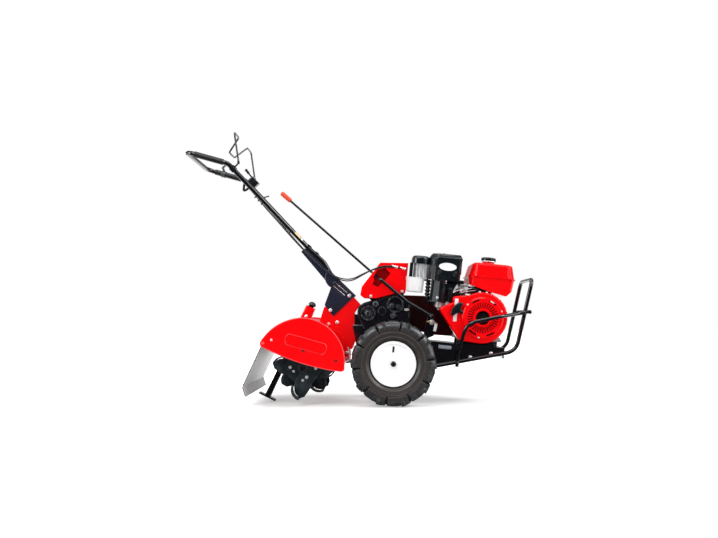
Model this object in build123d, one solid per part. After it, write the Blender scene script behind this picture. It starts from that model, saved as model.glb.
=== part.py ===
from build123d import *

import os
from math import cos, radians, sin, sqrt, tan

# Rear-tine power tiller, parked on its two wheels and the foot of its drag bar.
# Millimetres and degrees. X points forward, Y to the left of the operator, Z up.
# Every place below is measured from the point on the ground under the middle of the axle.

# Overall reach, which also sets the origin at the middle of the whole length
handle_reach = 1016.0
guard_reach = 696.0

# Clearances
fit_gap = 0.3
running_gap = 0.05
clear_gap = 6.0

# Wheels
rolling_radius = 206.0
tyre_width = 105.0
lug_height = 13.0
lug_width = 17.0
lug_skew = 30.0
lug_count = 10
rim_seat_radius = 100.0
rim_flange_radius = 110.0
rim_width = 70.0
rim_wall = 4.0
rim_disc_inset = 8.0
hub_radius = 24.0
wheel_track = 420.0
axle_diameter = 25.0
valve_slot = (31.0, 9.0)
valve_slot_radius = 69.0

# Transmission case: a cast box around three shafts, from the axle up to the belt input
axle_lobe_radius = 68.0
input_lobe = (14.0, 472.0, 68.0)
output_lobe = (-124.0, 450.0, 51.0)
case_half_width = 70.0
case_seam_width = 14.0
case_seam_proud = 7.0
case_round = 12.0
axle_tube_radius = 32.0
axle_tube_reach = 126.0
axle_socket = 20.0
cover_ears = ((-111.0, 534.0), (46.0, 558.0))
cover_ear_radius = 13.0

# Tine drive case: the red casting behind the transmission that carries the tines
drive_face_x = -194.0
drive_half_width = 46.0
tine_axis = (-435.0, 186.0)
tine_case_half_width = 27.0
tine_case_radius = 56.0
tine_shaft_diameter = 30.0

# Tine rotor
tine_radius = 150.0
tine_bolt_line = 45.0
tine_root_width = 38.0
flange_radius = 80.0
flange_thickness = 8.0
flange_stations = (100.0, 200.0)
rotor_tube_radius = 24.0
tine_thickness = 7.0
tine_foot_length = 52.0
tines_per_flange = 4

# Tine shield
shield_half_width = 285.0
sheet = 3.0
shield_rear = (-628.0, 312.0)
shield_rear_shoulder = (-556.0, 386.0)
shield_top = (-436.0, 426.0)
shield_front_shoulder = (-292.0, 366.0)
shield_front = (-231.0, 217.0)
shield_front_foot = (-250.0, 173.0)
shield_corner = 17.0
shield_belly = (-434.0, 213.0)
shield_rear_foot = (-618.0, 289.0)
hood_inset = 5.0
badge_field = (199.0, 52.0)
badge_centre = (-414.0, 302.0)
badge_slope = -15.6
badge_ridge = 4.0
badge_proud = 2.0

# Rear flap
flap_hinge = (-616.0, 307.0)
flap_half_width = 272.0
flap_knee = (-713.0, 100.0)
flap_lip = (-699.0, 54.0)
flap_rod_diameter = 7.0
flap_knuckle_radius = 6.5
flap_knuckle_length = 90.0

# Drag bar, the depth stake that the tiller also parks on
drag_lean = 26.0
drag_foot_x = -640.0
drag_bar_side = 28.0
drag_bar_length = 520.0
drag_foot = (92.0, 40.0, 8.0)
sleeve_side = 50.0
sleeve_corner = 12.0
drag_cap = (40.0, 20.0)
sleeve_length = 92.0
sleeve_top_gap = 16.0
drag_travel = 100.0

# Handle column and its bracket on the red casting
handle_pivot = (-294.0, 600.0)
pivot_pin_diameter = 14.0
bracket_plate = 5.0
column_wall = 4.0
column_half_width = 40.0
column_top = (-456.0, 770.0)
column_top_depth = 26.0
column_base_depth = 54.0

# Handlebar
handle_tube = 24.0
tube_wall = 2.5
handle_half_width = 206.0
handle_root_half = 24.0
handle_bend = (-799.0, 1172.0)
handle_end_z = 1229.0
grip_diameter = 29.0
grip_start = 24.0
handle_corner = 45.0
console_along = 457.0
console_depth = 70.0
cable_diameter = 6.0

# Clutch bail, a wire lever shaped like an M above the grips
bail_wire = 9.0
bail_foot = (-748.0, 1183.0)
bail_crest = (-768.0, 1322.0)
bail_dip = (-826.0, 1260.0)
bail_crest_inner = 106.0
bail_dip_half = 58.0

# Shift lever
lever_rod = 12.0
lever_tube = 17.0
lever_knob = (-546.0, -44.0, 1042.0)
lever_inside = (-104.0, -44.0, 654.0)
lever_outside = (-60.0, -108.0, 615.0)
lever_knee = (71.0, -112.0, 505.0)
lever_foot = (192.0, -112.0, 434.0)
knob_diameter = 23.0
knob_length = 58.0

# Gear cover over the shift gate
cover_half_width = 88.0
cover_sheet = 2.5
gate_depth = 24.0

# Engine, modelled about its crankshaft and then tipped nose-down on the bed
crank_place = (435.0, 0.0, 426.0)
engine_tip = 5.6
crankcase_half_width = 92.0
crankcase_front = 104.0
crankcase_rear = -108.0
crankcase_top = 78.0
crankcase_base = -112.0
mount_height = 26.0
mount_diameter = 32.0
cylinder_rise = 25.0
cylinder_bore_radius = 52.0
fin_count = 7
fin_pitch = 12.0
fin_thickness = 4.0
fin_size = 140.0
fin_start = 108.0
fan_radius = 126.0
fan_inner = -92.3
fan_outer = -164.0
fan_wall = 3.0
recoil_radius = 102.0
recoil_depth = 27.0
recoil_edge = 8.0
recoil_slots = 34
recoil_eye = 34.0
tank_x = 36.0
tank_length = 228.0
tank_width = 286.0
tank_corner = 46.0
tank_seam = 201.0
tank_base = 116.0
tank_top = 272.0
tank_wall = 2.0
filler_x = 27.0
filler_radius = 30.0
filler_height = 15.0
cap_radius = 35.0

# Air cleaner, beside and above the cylinder head, with a cyclone on its rear side
air_rear = -278.0
air_front = -120.0
air_near = -150.0
air_far = -20.0
air_chamfer = 38.0
air_base = 166.0
air_parting = 200.0
air_shoulder = 276.0
air_top = 297.0
duct_base = 57.0
duct_front = -190.0
duct_far = -75.0
cyclone_y = -85.0
cyclone_x = -318.0
cyclone_radius = 37.0
cyclone_base = 168.0
cyclone_top = 238.0
dome_radius = 47.0
cup_x = -337.0
cup_radius = 39.5
cup_base = 92.0

# Engine bed and front guard
bed_half_width = 130.0
bed_sheet = 5.0
bed_rear_x = 190.0
bed_front_x = 566.0
bed_rear_depth = 118.0
bed_front_depth = 22.0
bed_arm_half_width = 58.0
case_pad_x = 100.0
guard_tube = 20.0
side_bar_tube = 18.0
guard_wall = 2.2
guard_top_z = 615.0
guard_knee = (606.0, 262.0)
guard_rear = (205.0, 188.0)
guard_bar_z = 455.0
weight_bolt_spacing = 80.0
weight_bolt_diameter = 11.0

# Belt cover on the left side
belt_inner = 98.0
belt_outer = 150.0
belt_sheet = 2.5
belt_input = (20.0, 470.0)
belt_drive_radius = 100.0
belt_input_radius = 70.0
belt_idler = (215.0, 392.0, 50.0)

# Places worked out from the dimensions above
frame_shift = (handle_reach - guard_reach) / 2
axle_z = rolling_radius
lug_reach = tan(radians(lug_skew)) * tyre_width / 2
wheel_y = wheel_track / 2
crank = Pos(*crank_place) * Rot(0, engine_tip, 0)


# Shared ways of making shapes
def side_plane(y):
    """Side view at a station across the machine: local x is forward and local y is up."""
    return Plane((0, y, 0), x_dir=(1, 0, 0), z_dir=(0, -1, 0))


def across(sketch, y_low, y_high):
    """Solid of a side-view sketch between two stations across the machine."""
    return extrude(side_plane(y_high) * sketch, amount=y_high - y_low)


def both_sides(sketch, half_width):
    """Solid of a side-view sketch, centred across the machine."""
    return across(sketch, -half_width, half_width)


def hull(*lobes):
    """Side-view outline stretched round circles that are given as x, z and radius."""
    edges = [edge for x, z, radius in lobes for edge in (Pos(x, z) * Circle(radius)).edges()]
    return make_hull(edges)


def outline(*points):
    """Side-view face with straight edges."""
    return make_face(Polyline(*points, close=True))


def disc(x, z, radius):
    """Side-view circle."""
    return Pos(x, z) * Circle(radius)


def rod(start, end, diameter):
    """Round bar between two points."""
    run = Vector(*end) - Vector(*start)
    return extrude(Plane(Vector(*start), z_dir=run) * Circle(diameter / 2), amount=run.length)


def pipe(points, bend_radius, outer, wall=0.0):
    """Tube, or a solid wire where there is no wall, bent round the corners of a route."""
    path = FilletPolyline(*points, radius=bend_radius)
    section = Circle(outer / 2)
    if wall:
        section = section - Circle(outer / 2 - wall)
    return sweep(Plane(path @ 0, z_dir=path % 0) * section, path=path)


def left_of(shape):
    """The same piece on the other side of the machine."""
    return mirror(shape, about=Plane.XZ)


# Wheels: tyre with lugs, pressed rim, and the half shaft that turns with them
def wheel_place(side):
    return Pos(0, side * wheel_y, axle_z)


def tyre():
    half = tyre_width / 2
    seat = rim_seat_radius + fit_gap
    bead = rim_width / 2 - rim_wall - fit_gap
    crown = rolling_radius - lug_height
    rim_edge = rim_flange_radius + fit_gap
    section = crown - rim_edge
    half_outline = [
        (seat, bead),
        (rim_edge, bead),
        (rim_edge + 0.22 * section, 0.9 * half),
        (rim_edge + 0.5 * section, half),
        (rim_edge + 0.82 * section, 0.94 * half),
        (crown, 0.62 * half),
    ]
    cavity = [(seat + 12, 0.3 * half), (seat + 45, 0.78 * half), (crown - 12, 0.6 * half)]
    outer = half_outline + [(r, -y) for r, y in reversed(half_outline)]
    inner = cavity + [(r, -y) for r, y in reversed(cavity)]
    carcass = revolve(outline(*outer) - outline(*inner), axis=Axis.Y)
    return carcass + tyre_lugs(crown)


def tyre_lugs(crown):
    """Slanting tread bars, alternately on the left and right half of the tyre."""
    half = tyre_width / 2
    slope = lug_reach / 2
    bar = outline(
        (-slope - lug_width / 2, -3),
        (-slope + lug_width / 2, -3),
        (slope + lug_width / 2, half),
        (slope - lug_width / 2, half),
    )
    left = Pos(0, 0, crown - lug_height) * extrude(bar, amount=2 * lug_height)
    right = mirror(left, about=Plane.XZ)
    pitch = 360 / lug_count
    lugs = []
    for step in range(lug_count):
        lugs.append(Rot(0, 180 + step * pitch, 0) * left)
        lugs.append(Rot(0, 180 + (step + 0.5) * pitch, 0) * right)
    return lugs


def rim():
    """Pressed rim with its disc near the outer flange; outboard is +Y here."""
    half = rim_width / 2
    barrel = Rectangle(rim_wall, rim_width, align=(Align.MAX, Align.CENTER))
    flange = Rectangle(rim_flange_radius - rim_seat_radius + rim_wall, rim_wall, align=Align.MIN)
    inner_r = rim_seat_radius - rim_wall
    disc_y = half - rim_disc_inset - rim_wall
    bore = axle_diameter / 2 + running_gap
    profile = Pos(rim_seat_radius, 0) * barrel
    profile += Pos(inner_r, half - rim_wall) * flange
    profile += Pos(inner_r, -half) * flange
    profile += Pos(bore, disc_y) * Rectangle(inner_r - bore + 1, rim_wall, align=Align.MIN)
    hub = Rectangle(hub_radius - bore, rim_width, align=(Align.MIN, Align.MAX))
    profile += Pos(bore, half - rim_disc_inset + 6) * hub
    wheel = revolve(profile, axis=Axis.Y)
    slot = Pos(0, disc_y - 1, valve_slot_radius) * Rot(90, 0, 0) * Rot(0, 0, 84) * SlotOverall(*valve_slot)
    return wheel - extrude(slot, amount=-rim_wall - 2)


def half_shaft(side):
    inner = case_half_width - axle_socket
    outer = wheel_y + rim_width / 2 - rim_disc_inset + 9
    return rod((0, side * inner, axle_z), (0, side * outer, axle_z), axle_diameter)


# Transmission case
def transmission_case():
    lobes = ((0, axle_z, axle_lobe_radius), input_lobe, output_lobe)
    box = both_sides(hull(*lobes), case_half_width)
    for face in (box.faces().sort_by(Axis.Y)[0], box.faces().sort_by(Axis.Y)[-1]):
        box = fillet(face.edges(), case_round)
    seam = hull(*((x, z, r + case_seam_proud) for x, z, r in lobes))
    box += both_sides(seam, case_seam_width / 2)
    for x, z in cover_ears:
        ear = hull((x, z, cover_ear_radius), (0.6 * x, 480, cover_ear_radius))
        box += both_sides(ear, case_seam_width / 2)
        box += both_sides(disc(x, z, cover_ear_radius), cover_half_width - cover_sheet - fit_gap)
    box += across(disc(*belt_input, 28), 0, belt_inner - fit_gap)
    box += shaft_bosses()
    box += both_sides(disc(0, axle_z, axle_tube_radius), axle_tube_reach)
    bore = disc(0, axle_z, axle_diameter / 2 + running_gap)
    box -= across(bore, case_half_width - axle_socket - 1, axle_tube_reach)
    box -= across(bore, -axle_tube_reach, 1 + axle_socket - case_half_width)
    rear_pad = outline((drive_face_x, 444), (drive_face_x, 352), (-90, 352), (-90, 444))
    box += both_sides(rear_pad, drive_half_width - 6)
    front_pad = outline((40, 218), (case_pad_x, 218), (case_pad_x, 296), (40, 296))
    return box + both_sides(front_pad, bed_arm_half_width)


def shaft_bosses():
    """Round bearing bosses cast on the right face of the case, two of them with a raised rim."""
    bosses = []
    for x, z, radius, proud in (
        (-125, 449, 21, 12),
        (-88, 497, 15, 14),
        (-55, 460, 20, 9),
        (-7, 487, 12, 16),
        (26, 480, 12, 16),
        (2, 437, 14, 8),
    ):
        bosses.append(across(disc(x, z, radius), -case_half_width - proud, 4 - case_half_width))
    for x, z, radius in ((-125, 449, 36), (12, 494, 42)):
        rim_face = disc(x, z, radius) - disc(x, z, radius - 6)
        bosses.append(across(rim_face, -case_half_width - 8, 4 - case_half_width))
    return bosses


# Tine drive case
def drive_outline():
    """Upper part of the casting in side view, above the shield."""
    return outline(
        (-165, 494),
        (drive_face_x, 450),
        (drive_face_x, 352),
        (-188, 318),
        (-208, 262),
        (-371, 408),
        (-349, 478),
        (-230, 556),
        (-194, 526),
    )


def drive_flange():
    """Rib of the casting that the curved hood is bolted to, with a lug at its lower end."""
    band = offset(side_plate_face(), 10) - offset(side_plate_face(), fit_gap - hood_inset)
    reach = outline((-356, 380), (-330, 440), (-180, 330), (-190, 205), (-226, 205), (-245, 270))
    return both_sides(band & reach, drive_half_width + 18)


def tine_drive_case():
    upper = both_sides(drive_outline(), drive_half_width)
    upper = fillet(upper.edges().filter_by(GeomType.LINE).filter_by(Axis.Y), 6)
    x, z = tine_axis
    lower = both_sides(hull((x, z, tine_case_radius), (-286, 322, 62)), tine_case_half_width)
    case = upper + lower + drive_flange()
    bore = disc(x, z, tine_shaft_diameter / 2 + running_gap)
    return case - both_sides(bore, drive_half_width)


# Tine rotor
def tine_shaft():
    x, z = tine_axis
    end = flange_stations[1] + 12
    return rod((x, -end, z), (x, end, z), tine_shaft_diameter)


def tine(side):
    """One sickle tine: a root bolted along a chord of the flange, and a foot turned to one side."""
    line, half = tine_bolt_line, tine_root_width / 2
    tip = (0.62 * tine_radius, -0.78 * tine_radius)
    heel = (0.40 * tine_radius, -0.76 * tine_radius)
    shank = make_face(
        [
            Line((line + half, -30), (line + half, 60)),
            Line((line + half, 60), (line - half, 60)),
            Line((line - half, 60), (line - half, -40)),
            ThreePointArc((line - half, -40), (0.22 * tine_radius, -0.54 * tine_radius), heel),
            Line(heel, tip),
            ThreePointArc(tip, (0.50 * tine_radius, -0.44 * tine_radius), (line + half, -30)),
        ]
    )
    start = (0.17 * tine_radius, -0.60 * tine_radius)
    edge = ThreePointArc(start, (0.30 * tine_radius, -0.76 * tine_radius), tip)
    foot = trace(edge, tine_thickness)
    low, high = sorted((0, side * tine_foot_length))
    plate = across(shank, -tine_thickness / 2, tine_thickness / 2)
    return Pos(0, side * (flange_thickness + tine_thickness - 1) / 2, 0) * (plate + across(foot, low, high))


def tine_gang(side):
    """Tube, two flanges and the tines of one half of the rotor."""
    x, z = tine_axis
    start = tine_case_half_width + clear_gap
    end = flange_stations[1] + 22
    tube = across(disc(0, 0, rotor_tube_radius), start, end)
    gang = tube
    pitch = 360 / tines_per_flange
    for number, station in enumerate(flange_stations):
        flange = disc(0, 0, flange_radius)
        gang += across(flange, station - flange_thickness / 2, station + flange_thickness / 2)
        for step in range(tines_per_flange):
            turn = step * pitch + number * pitch / 2
            inward = -1 if step % 2 else 1
            gang += Pos(0, station, 0) * Rot(0, turn, 0) * tine(inward)
    gang -= across(disc(0, 0, tine_shaft_diameter / 2 + running_gap), start, end)
    gang = Pos(x, 0, z) * gang
    return gang if side > 0 else left_of(gang)


# Tine shield
def side_plate_face():
    corner = (shield_front[0] - 1, shield_front_foot[1] + shield_corner)
    bulge = (corner[0] - 0.3 * shield_corner, shield_front_foot[1] + 0.3 * shield_corner)
    heel = (shield_rear[0] - 1, (shield_rear[1] + shield_rear_foot[1]) / 2 - 3)
    edges = [
        ThreePointArc(shield_rear, shield_rear_shoulder, shield_top),
        ThreePointArc(shield_top, shield_front_shoulder, shield_front),
        Line(shield_front, corner),
        ThreePointArc(corner, bulge, shield_front_foot),
        ThreePointArc(shield_front_foot, shield_belly, shield_rear_foot),
        ThreePointArc(shield_rear_foot, heel, shield_rear),
    ]
    return make_face(edges)


def shield_side(side):
    face = side_plate_face()
    plate = across(face, shield_half_width - sheet, shield_half_width)
    slot = SlotOverall(*badge_field)
    inner = SlotOverall(badge_field[0] - 2 * badge_ridge, badge_field[1] - 2 * badge_ridge)
    ridge = Pos(*badge_centre) * Rot(0, 0, badge_slope) * (slot - inner)
    plate += across(ridge, shield_half_width, shield_half_width + badge_proud)
    rod_hole = disc(*flap_hinge, flap_rod_diameter / 2 + fit_gap)
    plate -= across(rod_hole, shield_half_width - sheet, shield_half_width)
    return plate if side > 0 else left_of(plate)


def hood():
    """Curved sheet between the side plates, cut out for the casting and the drag bar sleeve."""
    outer = side_plate_face()
    shell = offset(outer, -hood_inset) - offset(outer, -hood_inset - sheet)
    keep = outline((-660, 330), (-560, 470), (-300, 470), (-200, 300), (-200, 200), (-240, 200), (-430, 260))
    band = both_sides(shell & keep, shield_half_width - sheet - fit_gap)
    band -= both_sides(offset(drive_outline(), fit_gap), drive_half_width + fit_gap)
    x, z = tine_axis
    lower = hull((x, z, tine_case_radius + fit_gap), (-286, 322, 62 + fit_gap))
    band -= both_sides(lower, tine_case_half_width + fit_gap)
    opening = RectangleRounded(sleeve_side + 2 * fit_gap, sleeve_side + 2 * fit_gap, sleeve_corner)
    return band - drag_place() * extrude(opening, amount=2 * drag_bar_length)


# Rear flap
def flap():
    x, z = flap_hinge
    line = Polyline(flap_hinge, flap_knee, flap_lip)
    plate = both_sides(trace(line, sheet), flap_half_width)
    knuckle = both_sides(disc(x, z, flap_knuckle_radius), flap_half_width)
    bore = both_sides(disc(x, z, flap_rod_diameter / 2 + running_gap), flap_half_width)
    return plate + knuckle - bore


def flap_rod():
    x, z = flap_hinge
    end = shield_half_width - 0.5
    return rod((x, -end, z), (x, end, z), flap_rod_diameter)


# Drag bar
def drag_place():
    """Frame along the drag bar: origin at the middle of its foot, local z up the bar."""
    rise = drag_foot[0] / 2 * sin(radians(drag_lean)) + drag_foot[2] * cos(radians(drag_lean))
    return Pos(drag_foot_x, 0, rise) * Rot(0, drag_lean, 0)


def drag_bar():
    length, width, thickness = drag_foot
    bar = Box(drag_bar_side, drag_bar_side, drag_bar_length, align=(Align.CENTER, Align.CENTER, Align.MIN))
    foot = Box(length, width, thickness, align=(Align.CENTER, Align.CENTER, Align.MAX))
    across_cap, cap_height = drag_cap
    cap = Cylinder(across_cap / 2, cap_height, align=(Align.CENTER, Align.CENTER, Align.MIN))
    cap = fillet(cap.faces().sort_by(Axis.Z)[-1].edges(), 0.45 * across_cap)
    return drag_place() * (bar + foot + Pos(0, 0, drag_bar_length - 8) * cap)


def drag_sleeve():
    side = sleeve_side
    inner = drag_bar_side + 2 * fit_gap
    wall = RectangleRounded(side, side, sleeve_corner) - Rectangle(inner, inner)
    base = drag_bar_length - sleeve_top_gap - sleeve_length
    return drag_place() * Pos(0, 0, base) * extrude(wall, amount=sleeve_length)


# Handle column
def column_axis():
    """Unit direction up the column and the one across it towards the front."""
    run = Vector(column_top[0] - handle_pivot[0], column_top[1] - handle_pivot[1])
    up = run.normalized()
    return up, Vector(up.Y, -up.X)


def column_outline(inset):
    up, front = column_axis()
    base, top = Vector(*handle_pivot), Vector(*column_top)
    wide, slim = column_base_depth / 2 - inset, column_top_depth / 2 - inset
    taper = outline(base + front * wide, top + front * slim, top - front * slim, base - front * wide)
    return taper + disc(*handle_pivot, wide)


def handle_column():
    """Tapered box column, open below, that tilts on the pivot pin."""
    up, front = column_axis()
    outer = both_sides(column_outline(0), column_half_width)
    inner = both_sides(column_outline(column_wall), column_half_width - column_wall)
    pin_hole = both_sides(disc(*handle_pivot, pivot_pin_diameter / 2 + running_gap), column_half_width)
    return outer - inner - pin_hole


def bracket_face():
    return make_face(
        [
            Line((-300, 434), (-190, 540)),
            Line((-190, 540), (-322, 668)),
            ThreePointArc((-322, 668), (-342, 628), (-313, 580)),
            Line((-313, 580), (-346, 490)),
            Line((-346, 490), (-300, 434)),
        ]
    )


def handle_bracket():
    """Pair of plates bolted to the casting, with the pivot pin between them."""
    inner = drive_half_width + fit_gap
    plate = across(bracket_face(), inner, inner + bracket_plate)
    x, z = handle_pivot
    end = inner + bracket_plate + 6
    pin = rod((x, -end, z), (x, end, z), pivot_pin_diameter)
    return plate + left_of(plate) + pin


# Handlebar
def handle_points():
    """Half of the handlebar's route on the right, from the column to the middle of the rear bar."""
    up, front = column_axis()
    stand_off = handle_tube / 2 + fit_gap
    base, top = Vector(*handle_pivot), Vector(*column_top)
    slim, wide = column_top_depth / 2, column_base_depth / 2
    low = base + up * 120 + front * (wide + (slim - wide) * 120 / (top - base).length + stand_off)
    high = top + front * (slim + stand_off)
    end_x = handle_tube / 2 - handle_reach
    return [
        (low.X, -handle_root_half, low.Y),
        (high.X, -handle_root_half, high.Y),
        (handle_bend[0], -handle_half_width, handle_bend[1]),
        (end_x, -handle_half_width, handle_end_z),
    ]


def handlebar():
    right = handle_points()
    left = [(x, -y, z) for x, y, z in reversed(right)]
    bends = (60, handle_corner, handle_corner)
    return pipe(right + left, bends + bends[::-1], handle_tube, tube_wall)


def grip(side):
    """Foam sleeve on the straight run of the handlebar."""
    bend, end = (Vector(*p) for p in handle_points()[2:])
    run = end - bend
    along = run.normalized()
    plane = Plane(bend + along * grip_start, z_dir=along)
    ring = Circle(grip_diameter / 2) - Circle(handle_tube / 2 + fit_gap)
    sleeve = extrude(plane * ring, amount=run.length - grip_start - handle_corner - fit_gap)
    return sleeve if side < 0 else left_of(sleeve)


# Clutch bail and the small controls on the handlebar
def bail():
    """Wire lever that rises from a pivot on each side, runs in and dips in the middle."""
    foot, crest, dip = bail_foot, bail_crest, bail_dip
    half = handle_half_width
    right = [
        (foot[0], -half, foot[1]),
        (crest[0], -half, crest[1]),
        (crest[0], -bail_crest_inner, crest[1]),
        (dip[0], -bail_dip_half, dip[1]),
    ]
    left = [(x, -y, z) for x, y, z in reversed(right)]
    return pipe(right + left, 14, bail_wire)


def bail_bracket(side):
    """Clamp round the handlebar with a tab that holds the foot of the bail."""
    bend, end = (Vector(*p) for p in handle_points()[1:3])
    along = (end - bend).normalized()
    centre = end - along * 34
    ring = Circle(handle_tube / 2 + 4) - Circle(handle_tube / 2 + fit_gap)
    clamp = Plane(centre, z_dir=along) * extrude(ring, amount=12, both=True)
    x, z = bail_foot
    y = -handle_half_width
    tab = rod((x, y, z - 14), (x, y, z - 1), bail_wire + 4)
    arm = rod((x, y, z - 10), tuple(centre + (Vector(x, y, z - 10) - centre).normalized() * 14), 8)
    shape = clamp + tab + arm
    return shape if side < 0 else left_of(shape)


def console():
    """Plate between the handlebar's legs that carries the throttle."""
    root, bend = (Vector(*p) for p in handle_points()[1:3])
    along = (bend - root).normalized()
    middle = root + along * console_along
    half = -middle.Y
    place = Plane((middle.X, 0, middle.Z), x_dir=(0, 1, 0), z_dir=(along.Z, 0, -along.X))
    flare = console_depth / 2 * abs(along.Y) / sqrt(1 - along.Y**2)
    inner = half - (handle_tube / 2) / sqrt(1 - along.Y**2) - fit_gap
    low, high = inner - flare, inner + flare
    depth = console_depth / 2
    plate = outline((-low, -depth), (low, -depth), (high, depth), (-high, depth))
    return place * extrude(plate, amount=2.5, both=True)


def throttle_lever():
    root, bend = (Vector(*p) for p in handle_points()[1:3])
    along = (bend - root).normalized()
    middle = root + along * console_along
    place = Plane((middle.X, 0, middle.Z), x_dir=(0, 1, 0), z_dir=(along.Z, 0, -along.X))
    body = extrude(RectangleRounded(40, 50, 8), amount=42)
    case = place * Pos(0, 0, 2.5 + fit_gap) * fillet(body.faces().sort_by(Axis.Z)[-1].edges(), 5)
    stalk = place * rod((0, 10, 36), (0, 54, 40), 8)
    knob = place * rod((0, 50, 40), (0, 76, 42), 14)
    return case + stalk + knob


# Shift lever
def shift_lever():
    """Thin rod down from the knob, and a stouter tube from the gate to the pivot."""
    tube = pipe([lever_foot, lever_knee, lever_outside], 120, lever_tube)
    upper = pipe([lever_outside, lever_inside, lever_knob], 14, lever_rod)
    return tube + upper + Pos(*lever_outside) * Sphere(lever_tube / 2 + 1)


def shift_knob():
    knob, inside = Vector(*lever_knob), Vector(*lever_inside)
    along = (knob - inside).normalized()
    grip_body = rod(tuple(knob - along * (knob_length - 22)), tuple(knob + along * 22), knob_diameter)
    socket = rod(tuple(knob - along * knob_length), tuple(knob + along * fit_gap), lever_rod + 2 * fit_gap)
    return grip_body - socket


def shift_bracket():
    """Stay bolted to the arm of the engine bed, with the pivot of the shift lever."""
    x, y, z = lever_foot
    outer = -bed_arm_half_width - fit_gap
    foot, top = 246, z + 14
    stay = outline((x - 60, foot), (x - 18, foot), (x - 18, 322), (x + 14, 336), (x + 14, top), (x - 14, top))
    plate = across(stay, outer - 6, outer)
    boss = rod((x, y, z), (x, outer, z), 20) + Pos(x, y, z) * Sphere(14)
    return plate + boss - shift_lever()


# Gear cover
def cover_outline():
    return outline(
        (-64, 702),
        (77, 700),
        (62, 550),
        (13, 549),
        (-90, 523),
        (-150, 528),
        (-164, 540),
        (-156, 582),
        (-98, 656),
    )


def gate_face():
    """The stepped opening that the shift lever comes out by."""
    upper = outline((-98, 632), (-79, 663), (-41, 675), (-12, 649), (-37, 618))
    return upper + outline((-98, 632), (-37, 618), (-55, 600), (-76, 581), (-104, 593), (-93, 614))


def gear_cover():
    """Sheet hood over the shift gate, open below, with the gate sunk in its right side."""
    shape = cover_outline()
    hollow = offset(shape, -cover_sheet)
    cover = both_sides(shape, cover_half_width) - both_sides(hollow, cover_half_width - cover_sheet)
    floor = outline((-164, 500), (-170, 530), (-100, 540), (10, 568), (60, 566), (80, 540))
    cover -= both_sides(floor, cover_half_width - cover_sheet)
    near, deep = -cover_half_width, gate_depth - cover_half_width
    tray = across(offset(gate_face(), cover_sheet), near + 1, deep)
    cover = cover + tray - across(gate_face(), near, deep - cover_sheet)
    cover -= rod(lever_outside, lever_inside, lever_rod + 2 * clear_gap)
    x, y, z = lever_inside
    slot = outline((x - 60, z - 30), (x - 60, z + 60), (x + 20, z + 60), (x + 20, z - 30))
    return cover - across(slot, y - lever_rod - 4, y + lever_rod + 4)


# Belt cover
def belt_lobes(grow):
    x, z = belt_input
    return hull(
        (crank_place[0], crank_place[2], belt_drive_radius + grow),
        (x, z, belt_input_radius + grow),
        (belt_idler[0], belt_idler[1], belt_idler[2] + grow),
    )


def belt_cover_back():
    return across(belt_lobes(6), belt_inner, belt_inner + belt_sheet)


def belt_cover():
    inner = belt_inner + belt_sheet + fit_gap
    cup = across(belt_lobes(0), inner, belt_outer)
    cup = fillet(cup.faces().sort_by(Axis.Y)[-1].edges(), 14)
    hollow = across(belt_lobes(-belt_sheet), inner, belt_outer - belt_sheet)
    return cup - fillet(hollow.faces().sort_by(Axis.Y)[-1].edges(), 14 - belt_sheet)


# Engine bed
def engine_bed():
    top = crankcase_base - mount_height
    rear, front = bed_rear_x - crank_place[0], bed_front_x - crank_place[0]
    side = outline(
        (rear, top),
        (front, top),
        (front, top - bed_front_depth),
        (rear + 26, top - bed_rear_depth),
        (rear, top - bed_rear_depth + 30),
    )
    plate = across(side, bed_half_width - bed_sheet, bed_half_width)
    deck = Pos((rear + front) / 2, 0, top - bed_sheet / 2) * Box(front - rear, 2 * bed_half_width, bed_sheet)
    bed = crank * (deck + plate + left_of(plate))
    arm = outline((case_pad_x + fit_gap, 222), (case_pad_x + fit_gap, 296), (262, 302), (262, 222))
    bed += both_sides(arm, bed_arm_half_width) - both_sides(offset(arm, -bed_sheet), bed_arm_half_width)
    nose = outline((540, 224), (540, 278), (548, 278), (548, 224))
    bed += both_sides(nose, bed_half_width - 1)
    bolt = Rot(0, 90, 0) * Cylinder(weight_bolt_diameter / 2, 40)
    return bed - [Pos(544, y, 248) * bolt for y in (-weight_bolt_spacing / 2, weight_bolt_spacing / 2)]


# Front guard
def guard_y():
    return bed_half_width + guard_tube / 2 + fit_gap


def front_guard():
    """One tube along the bed, up in front of the engine and down the other side."""
    y = guard_y()
    top_x = guard_reach - guard_tube / 2
    right = [(guard_rear[0], -y, guard_rear[1]), (guard_knee[0], -y, guard_knee[1]), (top_x, -y, guard_top_z)]
    left = [(px, -py, pz) for px, py, pz in reversed(right)]
    return pipe(right + left, (70, 36, 36, 70), guard_tube, guard_wall)


def guard_bar_x():
    top_x = guard_reach - guard_tube / 2
    share = (guard_bar_z - guard_knee[1]) / (guard_top_z - guard_knee[1])
    return guard_knee[0] + share * (top_x - guard_knee[0])


def guard_cross_bar():
    x = guard_bar_x() + 1.03 * guard_tube + fit_gap
    end = guard_y() + 13
    bar = rod((x, -end, guard_bar_z), (x, end, guard_bar_z), guard_tube)
    return bar - rod((x, -end, guard_bar_z), (x, end, guard_bar_z), guard_tube - 2 * guard_wall)


def guard_side_bar():
    """Bowed tube beside the recoil starter, from the bed's tube to the right upright."""
    y = -guard_y() - (guard_tube + side_bar_tube) / 2 - fit_gap
    x = guard_bar_x()
    route = [
        (312, y, 186),
        (318, y, 246),
        (352, -222, 399),
        (520, -222, 433),
        (x - 34, y, guard_bar_z - 8),
        (x + 9, y, guard_bar_z),
    ]
    return pipe(route, (60, 72, 60, 40), side_bar_tube, guard_wall)


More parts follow.
